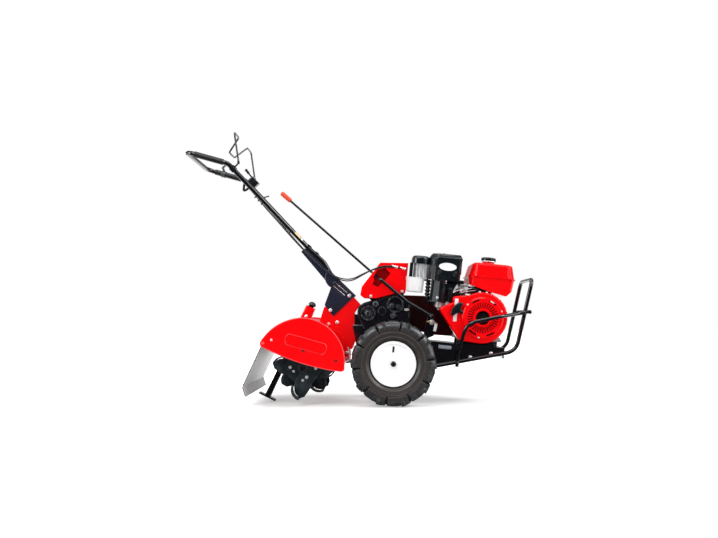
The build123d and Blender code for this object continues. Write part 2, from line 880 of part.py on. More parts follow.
# Engine: everything here is placed about the crankshaft
def crankcase():
    block = Pos(0, 0, 0) * across(
        outline(
            (crankcase_rear, crankcase_base),
            (crankcase_front, crankcase_base),
            (crankcase_front, 40),
            (70, crankcase_top),
            (-40, crankcase_top),
            (crankcase_rear, 10),
        ),
        -crankcase_half_width,
        crankcase_half_width,
    )
    block = fillet(block.edges().filter_by(Axis.Y), 14)
    block += across(disc(0, 0, 60), crankcase_half_width - 2, belt_inner - fit_gap)
    block -= across(disc(0, 0, 46), crankcase_half_width - 60, belt_inner)
    feet = Pos(0, 0, crankcase_base + 6) * Box(230, 2 * crankcase_half_width, 12)
    return crank * (block + feet)


def engine_mounts():
    z = crankcase_base - mount_height / 2
    return [
        crank * Pos(x, y, z) * Cylinder(mount_diameter / 2, mount_height - 2 * 0.1)
        for x in (-85, 85)
        for y in (-72, 72)
    ]


def cylinder_place(along):
    """Frame on the cylinder's axis at a distance from the crankshaft, local z outward."""
    rise = radians(cylinder_rise)
    spot = (-along * cos(rise), 0, along * sin(rise))
    return crank * Plane(spot, x_dir=(0, 1, 0), z_dir=(-cos(rise), 0, sin(rise))).location


def cylinder():
    length = fin_count * fin_pitch
    barrel = Cylinder(cylinder_bore_radius, length + 40, align=(Align.CENTER, Align.CENTER, Align.MIN))
    body = Pos(0, 0, -40) * barrel
    for step in range(fin_count):
        fin = extrude(RectangleRounded(fin_size, fin_size, 16), amount=fin_thickness)
        body += Pos(0, 0, step * fin_pitch) * fin
    return cylinder_place(fin_start) * body - crankcase()


def head_cover():
    start = fin_start + fin_count * fin_pitch + fit_gap
    head = extrude(RectangleRounded(118, 124, 18), amount=26)
    lid = Pos(0, 0, 26) * extrude(RectangleRounded(92, 112, 24), amount=26, taper=6)
    return cylinder_place(start) * (head + lid)


def fan_outline(grow):
    """Blower housing in side view: a scroll with a straight lower edge, and a shoulder above it."""
    scroll = hull((0, 0, fan_radius + grow), (-192, 22, 16 + grow), (-92, -106, 16 + grow))
    return scroll + hull((-136, 78, 16 + grow), (-78, 88, 16 + grow), (-110, 20, 16 + grow))


def blower_housing():
    shell = across(fan_outline(0), fan_outer, fan_inner)
    shell = fillet(shell.faces().sort_by(Axis.Y)[0].edges(), 12)
    hollow = across(fan_outline(-fan_wall), fan_outer + fan_wall, fan_inner)
    shell -= fillet(hollow.faces().sort_by(Axis.Y)[0].edges(), 12 - fan_wall)
    shell -= across(disc(0, 0, recoil_radius - 8), fan_outer, fan_outer + fan_wall)
    return crank * shell


def recoil_cover():
    """Round cover with ring slots that the cooling air enters by."""
    outer_y = fan_outer - recoil_depth
    rim_y = fan_outer - fit_gap
    edge = recoil_edge
    outer = outline(
        (0, rim_y),
        (recoil_radius, rim_y),
        (recoil_radius, outer_y + edge),
        (recoil_radius - edge, outer_y),
        (0, outer_y),
    )
    inner = outline(
        (0, rim_y),
        (recoil_radius - fan_wall, rim_y),
        (recoil_radius - fan_wall, outer_y + edge),
        (recoil_radius - edge - 1, outer_y + fan_wall),
        (0, outer_y + fan_wall),
    )
    cover = revolve(outer - inner, axis=Axis.Y)
    pitch = 360 / recoil_slots
    slots = [Rot(0, pitch * k, 0) * Pos(61, outer_y, 0) * Box(28, 12, 5) for k in range(recoil_slots)]
    slots.append(across(disc(0, 0, recoil_eye), outer_y, outer_y + 6))
    ring = disc(0, 0, 92) - disc(0, 0, 84)
    for middle in (62, 120, 240, 300):
        wedge = Rot(0, 0, middle) * outline((0, 0), (120, -27), (120, 27))
        slots.append(across(ring & wedge, outer_y, outer_y + 6))
    return crank * (cover - slots)


def starter_grip():
    """Bowed handle of the recoil rope, and the rope's stub at the cover."""
    near = fan_outer - 27
    bar = across(hull((-144, 2, 8), (-140, 40, 13), (-112, 64, 9)), near, near + 22)
    ends = bar.faces().sort_by(Axis.Y)
    bar = fillet(ends[0].edges() + ends[-1].edges(), 5)
    x, z = -128, 32
    reach = (recoil_radius + fit_gap) / sqrt(x**2 + z**2)
    return crank * (bar + rod((x, near + 12, z), (x * reach, near + 12, z * reach), 11))


def tank_ring(grow):
    return Pos(tank_x, 0) * RectangleRounded(tank_length + grow, tank_width + grow, tank_corner + grow / 2)


def tank_wedge(lift):
    """What is cut from under the tank, so that it clears the carburettor and the blower."""
    right = tank_x + tank_length / 2
    return both_sides(
        outline(
            (-160, 60),
            (-160, 164 + lift),
            (-84, 163 + lift),
            (-32, 148 + lift),
            (30, 131 + lift),
            (right - 38, tank_base + lift),
            (right, tank_base + 36 + lift),
            (right + 40, tank_base + 36 + lift),
            (right + 40, 60),
        ),
        tank_width,
    )


def tank_lower():
    seam = Plane((0, 0, tank_seam))
    cup = extrude(seam * tank_ring(0), amount=-(tank_seam - tank_base), taper=7) - tank_wedge(0)
    hollow = extrude(seam * tank_ring(-2 * tank_wall), amount=-(tank_seam - tank_base - tank_wall), taper=7)
    lip = extrude(seam * (tank_ring(10) - tank_ring(-2 * tank_wall)), amount=-3)
    return crank * (cup - (hollow - tank_wedge(tank_wall)) + lip)


def tank_upper():
    seam = Plane((0, 0, tank_seam + fit_gap))
    cup = extrude(seam * tank_ring(0), amount=tank_top - tank_seam, taper=13)
    cup = fillet(cup.faces().sort_by(Axis.Z)[-1].edges(), 16)
    hollow = extrude(seam * tank_ring(-2 * tank_wall), amount=tank_top - tank_seam - tank_wall, taper=13)
    cup -= fillet(hollow.faces().sort_by(Axis.Z)[-1].edges(), 14)
    lip = extrude(seam * (tank_ring(10) - tank_ring(-2 * tank_wall)), amount=3)
    neck = Cylinder(filler_radius, filler_height + 1, align=(Align.CENTER, Align.CENTER, Align.MIN))
    return crank * (cup + lip + Pos(filler_x, 0, tank_top - 1) * neck)


def tank_stay():
    """Bracket on top of the crankcase that the tank is bolted to, cut to the tank's slope."""
    low = crankcase_top + fit_gap
    block = outline((-12, low), (48, low), (48, tank_seam), (-12, tank_seam))
    belly = tank_x + tank_length / 2 - 38
    under = outline(
        (-60, 300),
        (-60, 156),
        (-32, 148 - fit_gap),
        (30, 131 - fit_gap),
        (belly, tank_base - fit_gap),
        (200, 300),
    )
    return crank * (both_sides(block, 65) - both_sides(under, 65))


def tank_cap():
    cap = Cylinder(cap_radius, 24, align=(Align.CENTER, Align.CENTER, Align.MIN))
    cap = fillet(cap.faces().sort_by(Axis.Z)[-1].edges(), 7)
    return crank * Pos(filler_x, 0, tank_top + filler_height + fit_gap) * cap


def air_ring(inset, rear, front, far):
    """Plan of the case or its duct, with its rear near corner cut off."""
    low, high, near = rear + inset, front - inset, air_near + inset
    return outline(
        (low, far - inset),
        (high, far - inset),
        (high, near + 12),
        (high - 12, near),
        (low + air_chamfer, near),
        (low, near + air_chamfer),
    )


def air_cleaner():
    """Case, deep lid and the duct that comes down to the carburettor."""
    tray_plan = air_ring(3, air_rear, air_front, air_far)
    lid_plan = air_ring(0, air_rear, air_front, air_far)
    case = Pos(0, 0, air_base) * extrude(tray_plan, amount=air_parting - air_base + 1)
    lid = Pos(0, 0, air_parting) * extrude(lid_plan, amount=air_shoulder - air_parting)
    top = extrude(lid_plan, amount=air_top - air_shoulder, taper=34)
    duct_plan = air_ring(2, air_rear + 16, duct_front, duct_far)
    duct = Pos(0, 0, duct_base) * extrude(duct_plan, amount=air_base - duct_base + 1)
    from_duct = (Align.MIN, Align.CENTER, Align.CENTER)
    elbow = Pos(duct_front - 4, -101, 137) * Box(air_front - duct_front + 5, 47, 30, align=from_duct)
    return crank * (case + lid + Pos(0, 0, air_shoulder) * top + duct + elbow)


def precleaner_body():
    body = Cylinder(cyclone_radius, cyclone_top - cyclone_base, align=(Align.CENTER, Align.CENTER, Align.MIN))
    return crank * Pos(cyclone_x, cyclone_y, cyclone_base) * body


def precleaner_cap():
    """Domed top of the cyclone, with a flat panel hanging behind the clear body."""
    dome = Cylinder(dome_radius, 40, align=(Align.CENTER, Align.CENTER, Align.MIN))
    dome = fillet(dome.faces().sort_by(Axis.Z)[-1].edges(), 16)
    rear = cyclone_x - cyclone_radius - 3
    hung = (Align.MAX, Align.CENTER, Align.MAX)
    panel = Pos(rear, 0, 2) * Box(16, 66, cyclone_top - cyclone_base, align=hung)
    place = Pos(0, cyclone_y, cyclone_top + fit_gap)
    return crank * place * (Pos(cyclone_x - 3, 0, 0) * dome + panel) - air_cleaner()


def dust_cup():
    height = cyclone_base - fit_gap - cup_base
    cup = Cylinder(cup_radius, height, align=(Align.CENTER, Align.CENTER, Align.MIN))
    cup = fillet(cup.faces().sort_by(Axis.Z)[0].edges(), 10)
    return crank * Pos(cup_x, cyclone_y, cup_base) * cup


def carburettor():
    body = Pos(-98, -101, 118) * Box(40, 46, 38, align=(Align.CENTER, Align.CENTER, Align.MIN))
    leg = Pos(-101, -66, 112) * Box(32, 44, 34, align=(Align.CENTER, Align.CENTER, Align.MIN))
    return crank * (body + leg) - cylinder()


def muffler():
    can = Pos(-222, 46, 165) * extrude(RectangleRounded(130, 92, 24), amount=92)
    can = fillet(can.faces().sort_by(Axis.Z)[-1].edges(), 10)
    pipe_down = Pos(-200, 40, 120) * Cylinder(16, 60, align=(Align.CENTER, Align.CENTER, Align.MIN))
    return crank * (can + pipe_down) - head_cover() - cylinder()


# Control cables, held at the console, the column and the gear cover
def cable(points):
    """Cable along a route, with each arc as large as its two runs allow."""
    places = [Vector(*p) for p in points]
    radii = []
    for before, corner, after in zip(places, places[1:], places[2:]):
        arriving, leaving = corner - before, after - corner
        turn = radians(arriving.get_angle(leaving))
        radii.append(0.45 * min(arriving.length, leaving.length) / tan(turn / 2))
    print("cable radii", [round(r) for r in radii])
    return pipe(points, radii, cable_diameter)


def control_cables():
    root, bend = (Vector(*p) for p in handle_points()[1:3])
    along = (bend - root).normalized()
    start = root + along * console_along
    beside = -cover_half_width - cable_diameter / 2 - 1
    cables = []
    for number, end_x in enumerate((6, 46)):
        y = -62 - 8 * number
        dip = 9 * number
        cables.append(
            cable(
                [
                    (start.X + 8, y - 20, start.Z - 23),
                    (start.X + 38, y - 16, start.Z - 64),
                    (-640, y - 8, 972 - dip),
                    (-583, y - 4, 910 - dip),
                    (-518, y, 836 - dip),
                    (-440, y, 756 - dip / 2),
                    (-372, y, 690),
                    (-318, y, 648),
                    (-262, y - 6, 622 - dip),
                    (-206, y - 20, 618 - dip),
                    (-150, beside, 646 - dip / 2),
                    (-92, beside, 672),
                    (end_x - 50, beside, 686 - dip / 2),
                    (end_x, beside, 684 - dip),
                    (end_x + 18, -cover_half_width - 3.4, 678 - dip),
                ]
            )
        )
    return Compound(cables)


NODES = {}


def main():
    os.makedirs("parts", exist_ok=True)
    NODES.update(
        tyre_right=wheel_place(-1) * tyre(),
        tyre_left=wheel_place(1) * tyre(),
        rim_right=wheel_place(-1) * left_of(rim()),
        rim_left=wheel_place(1) * rim(),
        half_shaft_right=half_shaft(-1),
        half_shaft_left=half_shaft(1),
        transmission_case=transmission_case(),
        tine_drive_case=tine_drive_case(),
        tine_shaft=tine_shaft(),
        tine_gang_right=tine_gang(-1),
        tine_gang_left=tine_gang(1),
        shield_sides=Compound([shield_side(-1), shield_side(1)]),
        shield_hood=hood(),
        rear_flap=flap(),
        flap_rod=flap_rod(),
        drag_bar=drag_bar(),
        drag_sleeve=drag_sleeve(),
        handle_column=handle_column(),
        handle_bracket=handle_bracket(),
        handlebar=handlebar(),
        grips=Compound([grip(-1), grip(1)]),
        clutch_bail=bail(),
        bail_brackets=Compound([bail_bracket(-1), bail_bracket(1)]),
        console=console(),
        throttle_lever=throttle_lever(),
        shift_lever=shift_lever(),
        shift_knob=shift_knob(),
        shift_bracket=shift_bracket(),
        gear_cover=gear_cover(),
        belt_cover=belt_cover(),
        belt_cover_back=belt_cover_back(),
        engine_bed=engine_bed(),
        engine_mounts=Compound(engine_mounts()),
        front_guard=front_guard(),
        guard_cross_bar=guard_cross_bar(),
        guard_side_bar=guard_side_bar(),
        crankcase=crankcase(),
        cylinder=cylinder(),
        head_cover=head_cover(),
        blower_housing=blower_housing(),
        recoil_cover=recoil_cover(),
        starter_grip=starter_grip(),
        tank_lower=tank_lower(),
        tank_upper=tank_upper(),
        tank_cap=tank_cap(),
        tank_stay=tank_stay(),
        air_cleaner=air_cleaner(),
        precleaner_body=precleaner_body(),
        precleaner_cap=precleaner_cap(),
        dust_cup=dust_cup(),
        carburettor=carburettor(),
        muffler=muffler(),
        control_cables=control_cables(),
    )
    for name, shape in NODES.items():
        export_step(Pos(frame_shift, 0, 0) * shape, f"parts/{name}.step")


main()
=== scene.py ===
from math import cos, pi, radians, sin

import bmesh
import bpy
from mathutils import Matrix, Vector


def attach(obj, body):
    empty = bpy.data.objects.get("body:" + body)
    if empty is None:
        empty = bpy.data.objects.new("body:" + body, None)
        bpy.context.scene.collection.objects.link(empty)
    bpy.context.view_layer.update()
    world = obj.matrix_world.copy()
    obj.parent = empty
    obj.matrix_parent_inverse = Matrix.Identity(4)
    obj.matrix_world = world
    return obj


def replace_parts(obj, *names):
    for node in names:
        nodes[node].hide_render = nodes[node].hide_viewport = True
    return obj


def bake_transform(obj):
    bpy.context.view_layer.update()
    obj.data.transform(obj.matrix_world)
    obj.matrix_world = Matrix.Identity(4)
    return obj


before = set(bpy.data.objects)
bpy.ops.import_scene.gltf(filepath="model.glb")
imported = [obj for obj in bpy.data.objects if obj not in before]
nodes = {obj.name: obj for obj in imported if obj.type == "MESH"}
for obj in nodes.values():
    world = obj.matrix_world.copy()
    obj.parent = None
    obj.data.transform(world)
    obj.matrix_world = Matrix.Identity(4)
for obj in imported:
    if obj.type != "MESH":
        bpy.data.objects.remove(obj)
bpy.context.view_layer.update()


# Studio: a white floor in a white room, six soft boxes, and bright strips at the sides and
# above that only reflections see; behind the camera they see a dark room. The camera stands
# square to the right side of the machine, as for a catalogue picture.
AXLE_X = 0.160
PICTURE_WIDE, SENSOR_WIDE = 718, 36
scene = bpy.context.scene
scene.view_settings.view_transform = "Standard"
camera_data = bpy.data.cameras.new("camera")
camera_data.sensor_width = SENSOR_WIDE
camera_data.lens = 682 / PICTURE_WIDE * SENSOR_WIDE
camera_data.shift_x = -26 / PICTURE_WIDE
camera_data.shift_y = 46 / PICTURE_WIDE
camera_data.clip_end = 60
camera = bpy.data.objects.new("camera", camera_data)
camera.location = (AXLE_X - 0.04, -3.5, 0.44)
camera.rotation_euler = (pi / 2, 0, 0)
bpy.context.collection.objects.link(camera)
scene.camera = camera


def soft_box(name, place, width, height, power):
    """Rectangular studio lamp that looks at the middle of the machine."""
    lamp = bpy.data.lights.new(name, "AREA")
    lamp.shape = "RECTANGLE"
    lamp.size, lamp.size_y, lamp.energy = width, height, power
    box = bpy.data.objects.new(name, lamp)
    box.location = place
    box.rotation_euler = (Vector((0, 0, 0.45)) - Vector(place)).to_track_quat("-Z", "Y").to_euler()
    bpy.context.collection.objects.link(box)


soft_box("key_light", (-1.5, -3.0, 3.0), 1.6, 1.6, 54)
soft_box("fill_light", (3.0, -2.8, 1.8), 1.4, 1.8, 24)
soft_box("top_light", (0.1, 0.3, 3.6), 2.6, 1.8, 50)
soft_box("rear_light", (-2.4, 2.8, 2.2), 1.6, 1.8, 20)
soft_box("left_strip", (-3.2, -1.3, 1.5), 0.8, 2.2, 28)
soft_box("front_strip", (2.5, -1.2, 2.5), 1.0, 1.0, 36)


class Tone:
    """A socket in a node tree, so that masks and colours can be written as sums."""

    def __init__(self, tree, socket=None):
        self.tree, self.socket = tree, socket

    def node(self, kind, settings=None, **sockets):
        """Adds a node: its settings first, then the values or links of its sockets."""
        made = self.tree.nodes.new(kind)
        for key, value in (settings or {}).items():
            setattr(made, key, value)
        for key, value in sockets.items():
            target = made.inputs[int(key[2:]) if key.startswith("in") else key.replace("_", " ").title()]
            if isinstance(value, Tone):
                self.tree.links.new(value.socket, target)
            else:
                target.default_value = value
        return made

    def out(self, made, name=0):
        return Tone(self.tree, made.outputs[name])

    def math(self, operation, a, b=0.0):
        return self.out(self.node("ShaderNodeMath", {"operation": operation}, in0=a, in1=b))

    def __add__(self, other):
        return self.math("ADD", self, other)

    def __sub__(self, other):
        return self.math("SUBTRACT", self, other)

    def __rsub__(self, other):
        return self.math("SUBTRACT", other, self)

    def __mul__(self, other):
        return self.math("MULTIPLY", self, other)

    def step(self, low, high):
        """0 below low, 1 above high and smooth between them."""
        ease = {"interpolation_type": "SMOOTHSTEP"}
        return self.out(self.node("ShaderNodeMapRange", ease, in0=self, in1=low, in2=high))

    def blend(self, first, second):
        """A colour that goes from first to second as this mask goes from 0 to 1."""
        first, second = (tone if isinstance(tone, Tone) else (*tone, 1) for tone in (first, second))
        made = self.node("ShaderNodeMix", {"data_type": "RGBA"}, in0=self, in6=first, in7=second)
        return self.out(made, 2)


class Finish(Tone):
    """A material with one Principled shader, drawn in the frame of the machine at rest."""

    def __init__(self, name, **sockets):
        self.material = bpy.data.materials.new(name)
        self.material.use_nodes = True
        super().__init__(self.material.node_tree)
        self.shader = self.tree.nodes["Principled BSDF"]
        self.place = self.out(self.node("ShaderNodeTexCoord"), "Object")
        for key, value in sockets.items():
            self.set(key.replace("_", " ").title().replace("Ior", "IOR"), value)

    def set(self, socket, value):
        if isinstance(value, Tone):
            self.tree.links.new(value.socket, self.shader.inputs[socket])
        else:
            self.shader.inputs[socket].default_value = value

    def noise(self, scale, detail=2.0, stretch=None):
        """Cloudy noise, longer in one direction where a stretch is given."""
        place = self.place
        if stretch:
            place = self.out(self.node("ShaderNodeMapping", None, vector=place, scale=stretch))
        return self.out(self.node("ShaderNodeTexNoise", None, vector=place, scale=scale, detail=detail))

    def axis(self, letter):
        return self.out(self.node("ShaderNodeSeparateXYZ", None, vector=self.place), letter)

    def edges(self, radius):
        """1 along sharp edges and 0 on even ground."""
        soft = self.out(self.node("ShaderNodeBevel", {"samples": 4}, radius=radius))
        flat = self.out(self.node("ShaderNodeNewGeometry"), "Normal")
        dot = self.node("ShaderNodeVectorMath", {"operation": "DOT_PRODUCT"}, in0=soft, in1=flat)
        return (1 - self.out(dot, "Value")).step(0.015, 0.16)

    def relief(self, tone, strength, distance, round_edge=0.0012):
        """Bump from a tone, over edges that are rounded a little."""
        soft = self.out(self.node("ShaderNodeBevel", {"samples": 4}, radius=round_edge))
        made = self.node("ShaderNodeBump", None, strength=strength, distance=distance, height=tone, normal=soft)
        self.set("Normal", self.out(made))


floor_paint = Finish("floor_white", roughness=0.9, specular_ior_level=0.1)
floor_ray = floor_paint.node("ShaderNodeLightPath")
floor_gloss = floor_paint.out(floor_ray, "Is Glossy Ray")
floor_back = floor_paint.axis("Y").step(-0.35, 0.5)
floor_seen = floor_paint.out(floor_ray, "Is Camera Ray") + floor_gloss * floor_back
floor_seen = floor_seen + floor_paint.out(floor_ray, "Is Transmission Ray")
floor_flag = floor_gloss * (1 - floor_back)
floor_paint.set("Base Color", floor_flag.blend((0.84, 0.84, 0.84), (0.02, 0.02, 0.02)))
floor_x, floor_y = floor_paint.axis("X"), floor_paint.axis("Y") * 1.4
floor_reach = (floor_x * floor_x + floor_y * floor_y).step(0.8, 2.4)
floor_glow = floor_reach.blend((0.36, 0.36, 0.36), (1, 1, 1))
floor_paint.set("Emission Color", floor_seen.step(0, 1).blend((0, 0, 0), floor_glow))
floor_paint.set("Emission Strength", 1.0)
floor_bm = bmesh.new()
bmesh.ops.create_grid(floor_bm, x_segments=1, y_segments=1, size=16)
floor_mesh = bpy.data.meshes.new("floor")
floor_bm.to_mesh(floor_mesh)
floor_bm.free()
floor_mesh.materials.append(floor_paint.material)
floor = bpy.data.objects.new("floor", floor_mesh)
floor.location.z = -0.0012
bpy.context.collection.objects.link(floor)

scene.world = bpy.data.worlds.new("studio")
scene.world.use_nodes = True
room = Tone(scene.world.node_tree)
room_ray = room.node("ShaderNodeLightPath")
room_white = room.out(room_ray, "Is Camera Ray") + room.out(room_ray, "Is Transmission Ray")
room_gloss = room.out(room_ray, "Is Glossy Ray")
room_look = room.out(room.node("ShaderNodeTexCoord"), "Generated")
room_axes = room.node("ShaderNodeSeparateXYZ", None, vector=room_look)
room_x, room_y, room_z = (room.out(room_axes, axis) for axis in "XYZ")
side_strips = (room_x * room_x).step(0.62, 0.76) * (1 - room_y.step(-0.14, -0.02))
high_strip = room_z.step(0.58, 0.68) * (1 - room_z.step(0.86, 0.93)) * (1 - room_y.step(-0.25, -0.10))
room_mirror = room_y.step(-0.6, 0.5) * 0.38 + 0.012 + side_strips * 4.0 + high_strip * 3.2
room_level = room_white + (1 - room_white) * (room_gloss * room_mirror + (1 - room_gloss) * 0.55)
backdrop = scene.world.node_tree.nodes["Background"]
backdrop.inputs["Color"].default_value = (1, 1, 1, 1)
scene.world.node_tree.links.new(room_level.socket, backdrop.inputs["Strength"])


# Wheels: a bar-lugged rubber tyre with wide blocks at the edges of its tread, narrow slots
# between them and moulded sidewall rings, on a pressed rim in white enamel with a slot for
# the valve. A black cap closes each axle end.
SIDES = RIGHT, LEFT = Vector((0, -1, 0)), Vector((0, 1, 0))
AXLE_Z = 206
WHEEL_Y = 210


def at(x, y, z):
    """A place in millimetres from the ground under the axle: forward, left and up."""
    return Vector((x / 1000 + AXLE_X, y / 1000, z / 1000))


def side_way(degrees):
    """The way at an angle above the machine's front, seen from the side."""
    return Vector((cos(radians(degrees)), 0, sin(radians(degrees))))


def dress(material, *names):
    """Gives CAD nodes a finish."""
    for name in names:
        mesh = nodes[name].data
        mesh.materials.clear()
        mesh.materials.append(material)


def piece(name, bm, material, body="frame"):
    """Makes a mesh of what was modelled and fixes it to a body of the machine."""
    bmesh.ops.recalc_face_normals(bm, faces=bm.faces[:])
    mesh = bpy.data.meshes.new(name)
    bm.to_mesh(mesh)
    bm.free()
    mesh.shade_smooth()
    mesh.set_sharp_from_angle(angle=radians(35))
    mesh.materials.append(material)
    made = bpy.data.objects.new(name, mesh)
    bpy.context.collection.objects.link(made)
    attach(made, body)
    return made


def standing(place, facing):
    """Frame whose z axis points the way a thing faces."""
    return Matrix.Translation(place) @ Vector(facing).to_track_quat("Z", "Y").to_matrix().to_4x4()


def only(kind, geom):
    """The parts of one kind in what an operator made."""
    return [part for part in geom if isinstance(part, kind)]


def edges_of(verts):
    """Every edge that touches the vertices."""
    return list({edge for vert in verts for edge in vert.link_edges})


def soften(bm, edges, offset, segments=3):
    """Rounds edges by an offset in millimetres."""
    shape = dict(segments=segments, profile=0.5, affect="EDGES", material=-1)
    return bmesh.ops.bevel(bm, geom=list(edges), offset=offset / 1000, **shape)


def ring(bm, centre, axis, radius, thick, steps=64):
    """Round bead bent into a full ring."""
    side = axis.orthogonal().normalized()
    start = standing(centre + side * (radius / 1000), axis.cross(side))
    loop = bmesh.ops.create_circle(bm, segments=8, radius=thick / 1000, matrix=start)["verts"]
    full = dict(cent=centre, axis=axis, angle=2 * pi, steps=steps, use_merge=True)
    bmesh.ops.spin(bm, geom=loop + edges_of(loop), **full)


def turned(bm, centre, axis, *profile, steps=32):
    """Turned piece: points of radius and height, spun about an axis."""
    axis = Vector(axis).normalized()
    side = axis.orthogonal().normalized()
    verts = [bm.verts.new(centre + side * (r / 1000) + axis * (h / 1000)) for r, h in profile]
    line = [bm.edges.new(pair) for pair in zip(verts, verts[1:])]
    bmesh.ops.spin(bm, geom=verts + line, cent=centre, axis=axis, angle=2 * pi, steps=steps, use_merge=True)
    bmesh.ops.remove_doubles(bm, verts=bm.verts[:], dist=1e-6)


rubber = Finish("tyre_rubber", specular_ior_level=0.5)
rubber_x, rubber_z = rubber.axis("X") - AXLE_X, rubber.axis("Z") - AXLE_Z / 1000
rubber_reach = rubber_x * rubber_x + rubber_z * rubber_z
rubber_tread = rubber_reach.step(0.026, 0.036)
rubber_dust = rubber.noise(26, 5).step(0.35, 0.75) * rubber_tread
# Paler rubber along the block edges: partly scuffing, partly a painted highlight on their rounded edges.
rubber_scuff_and_highlight = rubber.edges(0.004) * rubber.noise(40, 3).step(0.25, 0.65) * 0.8
rubber_tone = rubber_tread.blend((0.033, 0.0275, 0.0255), (0.026, 0.028, 0.031))
rubber_tone = rubber_dust.blend(rubber_tone, (0.062, 0.064, 0.067))
rubber.set("Base Color", rubber_scuff_and_highlight.blend(rubber_tone, (0.15, 0.15, 0.155)))
rubber.set("Roughness", rubber.noise(70, 4) * 0.24 + 0.28 - rubber_reach.step(0.024, 0.030) * 0.12)
rubber.relief(rubber.noise(320, 3), 0.25, 0.0006, 0.003)
dress(rubber.material, "tyre_right", "tyre_left")

rim_white = Finish("rim_white", specular_ior_level=0.4, coat_weight=0.2, coat_roughness=0.1)
rim_dust = rim_white.noise(14, 4).step(0.45, 0.9)
rim_white.set("Base Color", rim_dust.blend((0.96, 0.96, 0.97), (0.92, 0.92, 0.93)))
rim_white.set("Roughness", rim_white.noise(60, 2) * 0.15 + 0.22)
rim_white.relief(rim_white.noise(160, 2), 0.06, 0.0004, 0.0025)
dress(rim_white.material, "rim_right", "rim_left")


def moulded(name, colour, gloss, grain, shine=0.5, coat=0.0):
    """Moulded plastic or rubber with a fine grain."""
    plastic = Finish(name, specular_ior_level=shine, coat_weight=coat)
    pale = tuple(min(1.35 * c, c + 0.05) + 0.004 for c in colour)
    plastic.set("Base Color", plastic.noise(18, 3).step(0.35, 0.85).blend(colour, pale))
    plastic.set("Roughness", plastic.noise(55, 2) * 0.08 + gloss)
    plastic.relief(plastic.noise(grain, 2), 0.12, 0.0004)
    return plastic.material


def shoulder_block(bm, hub, side, start, sweep):
    """Wide rubber block at the edge of the tread, from one slot to the next."""
    out = side_way(start)
    shape = ((157, 44), (157, 51.6), (161, 53.8), (180, 53), (194, 46), (202, 37), (202, 9), (190, 9))
    verts = [bm.verts.new(hub + out * (r / 1000) + side * (y / 1000)) for r, y in shape]
    end = bm.faces.new(verts)
    turn = dict(cent=hub, axis=RIGHT, angle=radians(sweep), steps=8)
    made = bmesh.ops.spin(bm, geom=[end, *end.edges, *verts], **turn)["geom_last"]
    soften(bm, {*end.edges, *only(bmesh.types.BMEdge, made)}, 3, 2)


def slab(bm, middle, size, along, facing, corner=1.0, rounded=0.0):
    """Flat plate: size is its length, width and thickness; rounded turns its four corners."""
    x, z = Vector(along).normalized(), Vector(facing).normalized()
    turn = Matrix((x, z.cross(x), z)).transposed().to_4x4()
    shape = Matrix.Translation(middle) @ turn @ Matrix.Diagonal((*(s / 1000 for s in size), 1))
    made = bmesh.ops.create_cube(bm, size=1, matrix=shape)["verts"]
    sides = edges_of(made)
    if rounded:
        upright = [e for e in sides if abs((e.verts[1].co - e.verts[0].co).normalized().dot(z)) > 0.9]
        cut = soften(bm, upright, rounded)
        verts = {vert for vert in made if vert.is_valid} | {vert for face in cut["faces"] for vert in face.verts}
        faces = {face for vert in verts for face in vert.link_faces}
        sides = {edge for face in faces if abs(face.normal.dot(z)) > 0.9 for edge in face.edges}
    soften(bm, sides, corner)


# Near-black that stands in for shade: painted shade in the tyre's slots, at the rim's edge and behind the
# starter's vents.
slot_black = moulded("slot_black", (0.0015, 0.0015, 0.002), 0.6, 600, 0.1)
moulded_black = moulded("moulded_black", (0.004, 0.0065, 0.009), 0.15, 900, 0.35, 0.2)
TREAD_SLOTS = [(face, first + 36 * number) for face, first in ((1, 7), (-1, 25)) for number in range(10)]
AXLE_CAP = ((0, 11), (4, 11), (5, 14), (9, 14), (12.5, 11), (13.5, 7), (13.5, 0), (0, 0))
VALVE = ((0, 0), (3.4, 0), (3.4, 9), (2.8, 10), (2.8, 13), (3.6, 14), (3.6, 20), (2.4, 21.5), (0, 21.5))
for side, word in zip(SIDES, ("right", "left")):
    hub = at(0, side.y * WHEEL_Y, AXLE_Z)
    wheel = "wheel_" + word
    bead = bmesh.new()
    for face in (-1, 1):
        for radius, wall in ((131, 47.8), (151.5, 52.3), (168, 50.5)):
            ring(bead, hub + side * (face * wall / 1000), side, radius, 1.7)
    piece("sidewall_rings_" + word, bead, rubber.material, wheel)
    blocks = bmesh.new()
    for face, turn in TREAD_SLOTS:
        shoulder_block(blocks, hub, side * face, turn + 1.7, 32.6)
    piece("shoulder_blocks_" + word, blocks, rubber.material, wheel)
    # Near-black slabs in the slots between the blocks, and a near-black ring where tyre meets rim, are painted
    # shade.
    slots = bmesh.new()
    for face, turn in TREAD_SLOTS:
        out = side_way(turn)
        slab(slots, hub + out * 0.177 + side * (face * 0.0505), (34, 9.6, 3), out, side * face, 0.6)
    for face in (-1, 1):
        ring(slots, hub + side * (face * 0.0362), side, 111.6, 2.2)
    piece("tread_slots_" + word, slots, slot_black, wheel)
    cap = bmesh.new()
    turned(cap, hub + side * 0.033, side, *AXLE_CAP)
    turned(cap, hub + side * 0.020 + Vector((0.003, 0, 0.073)), side, *VALVE)
    piece("axle_cap_and_valve_" + word, cap, moulded_black, wheel)


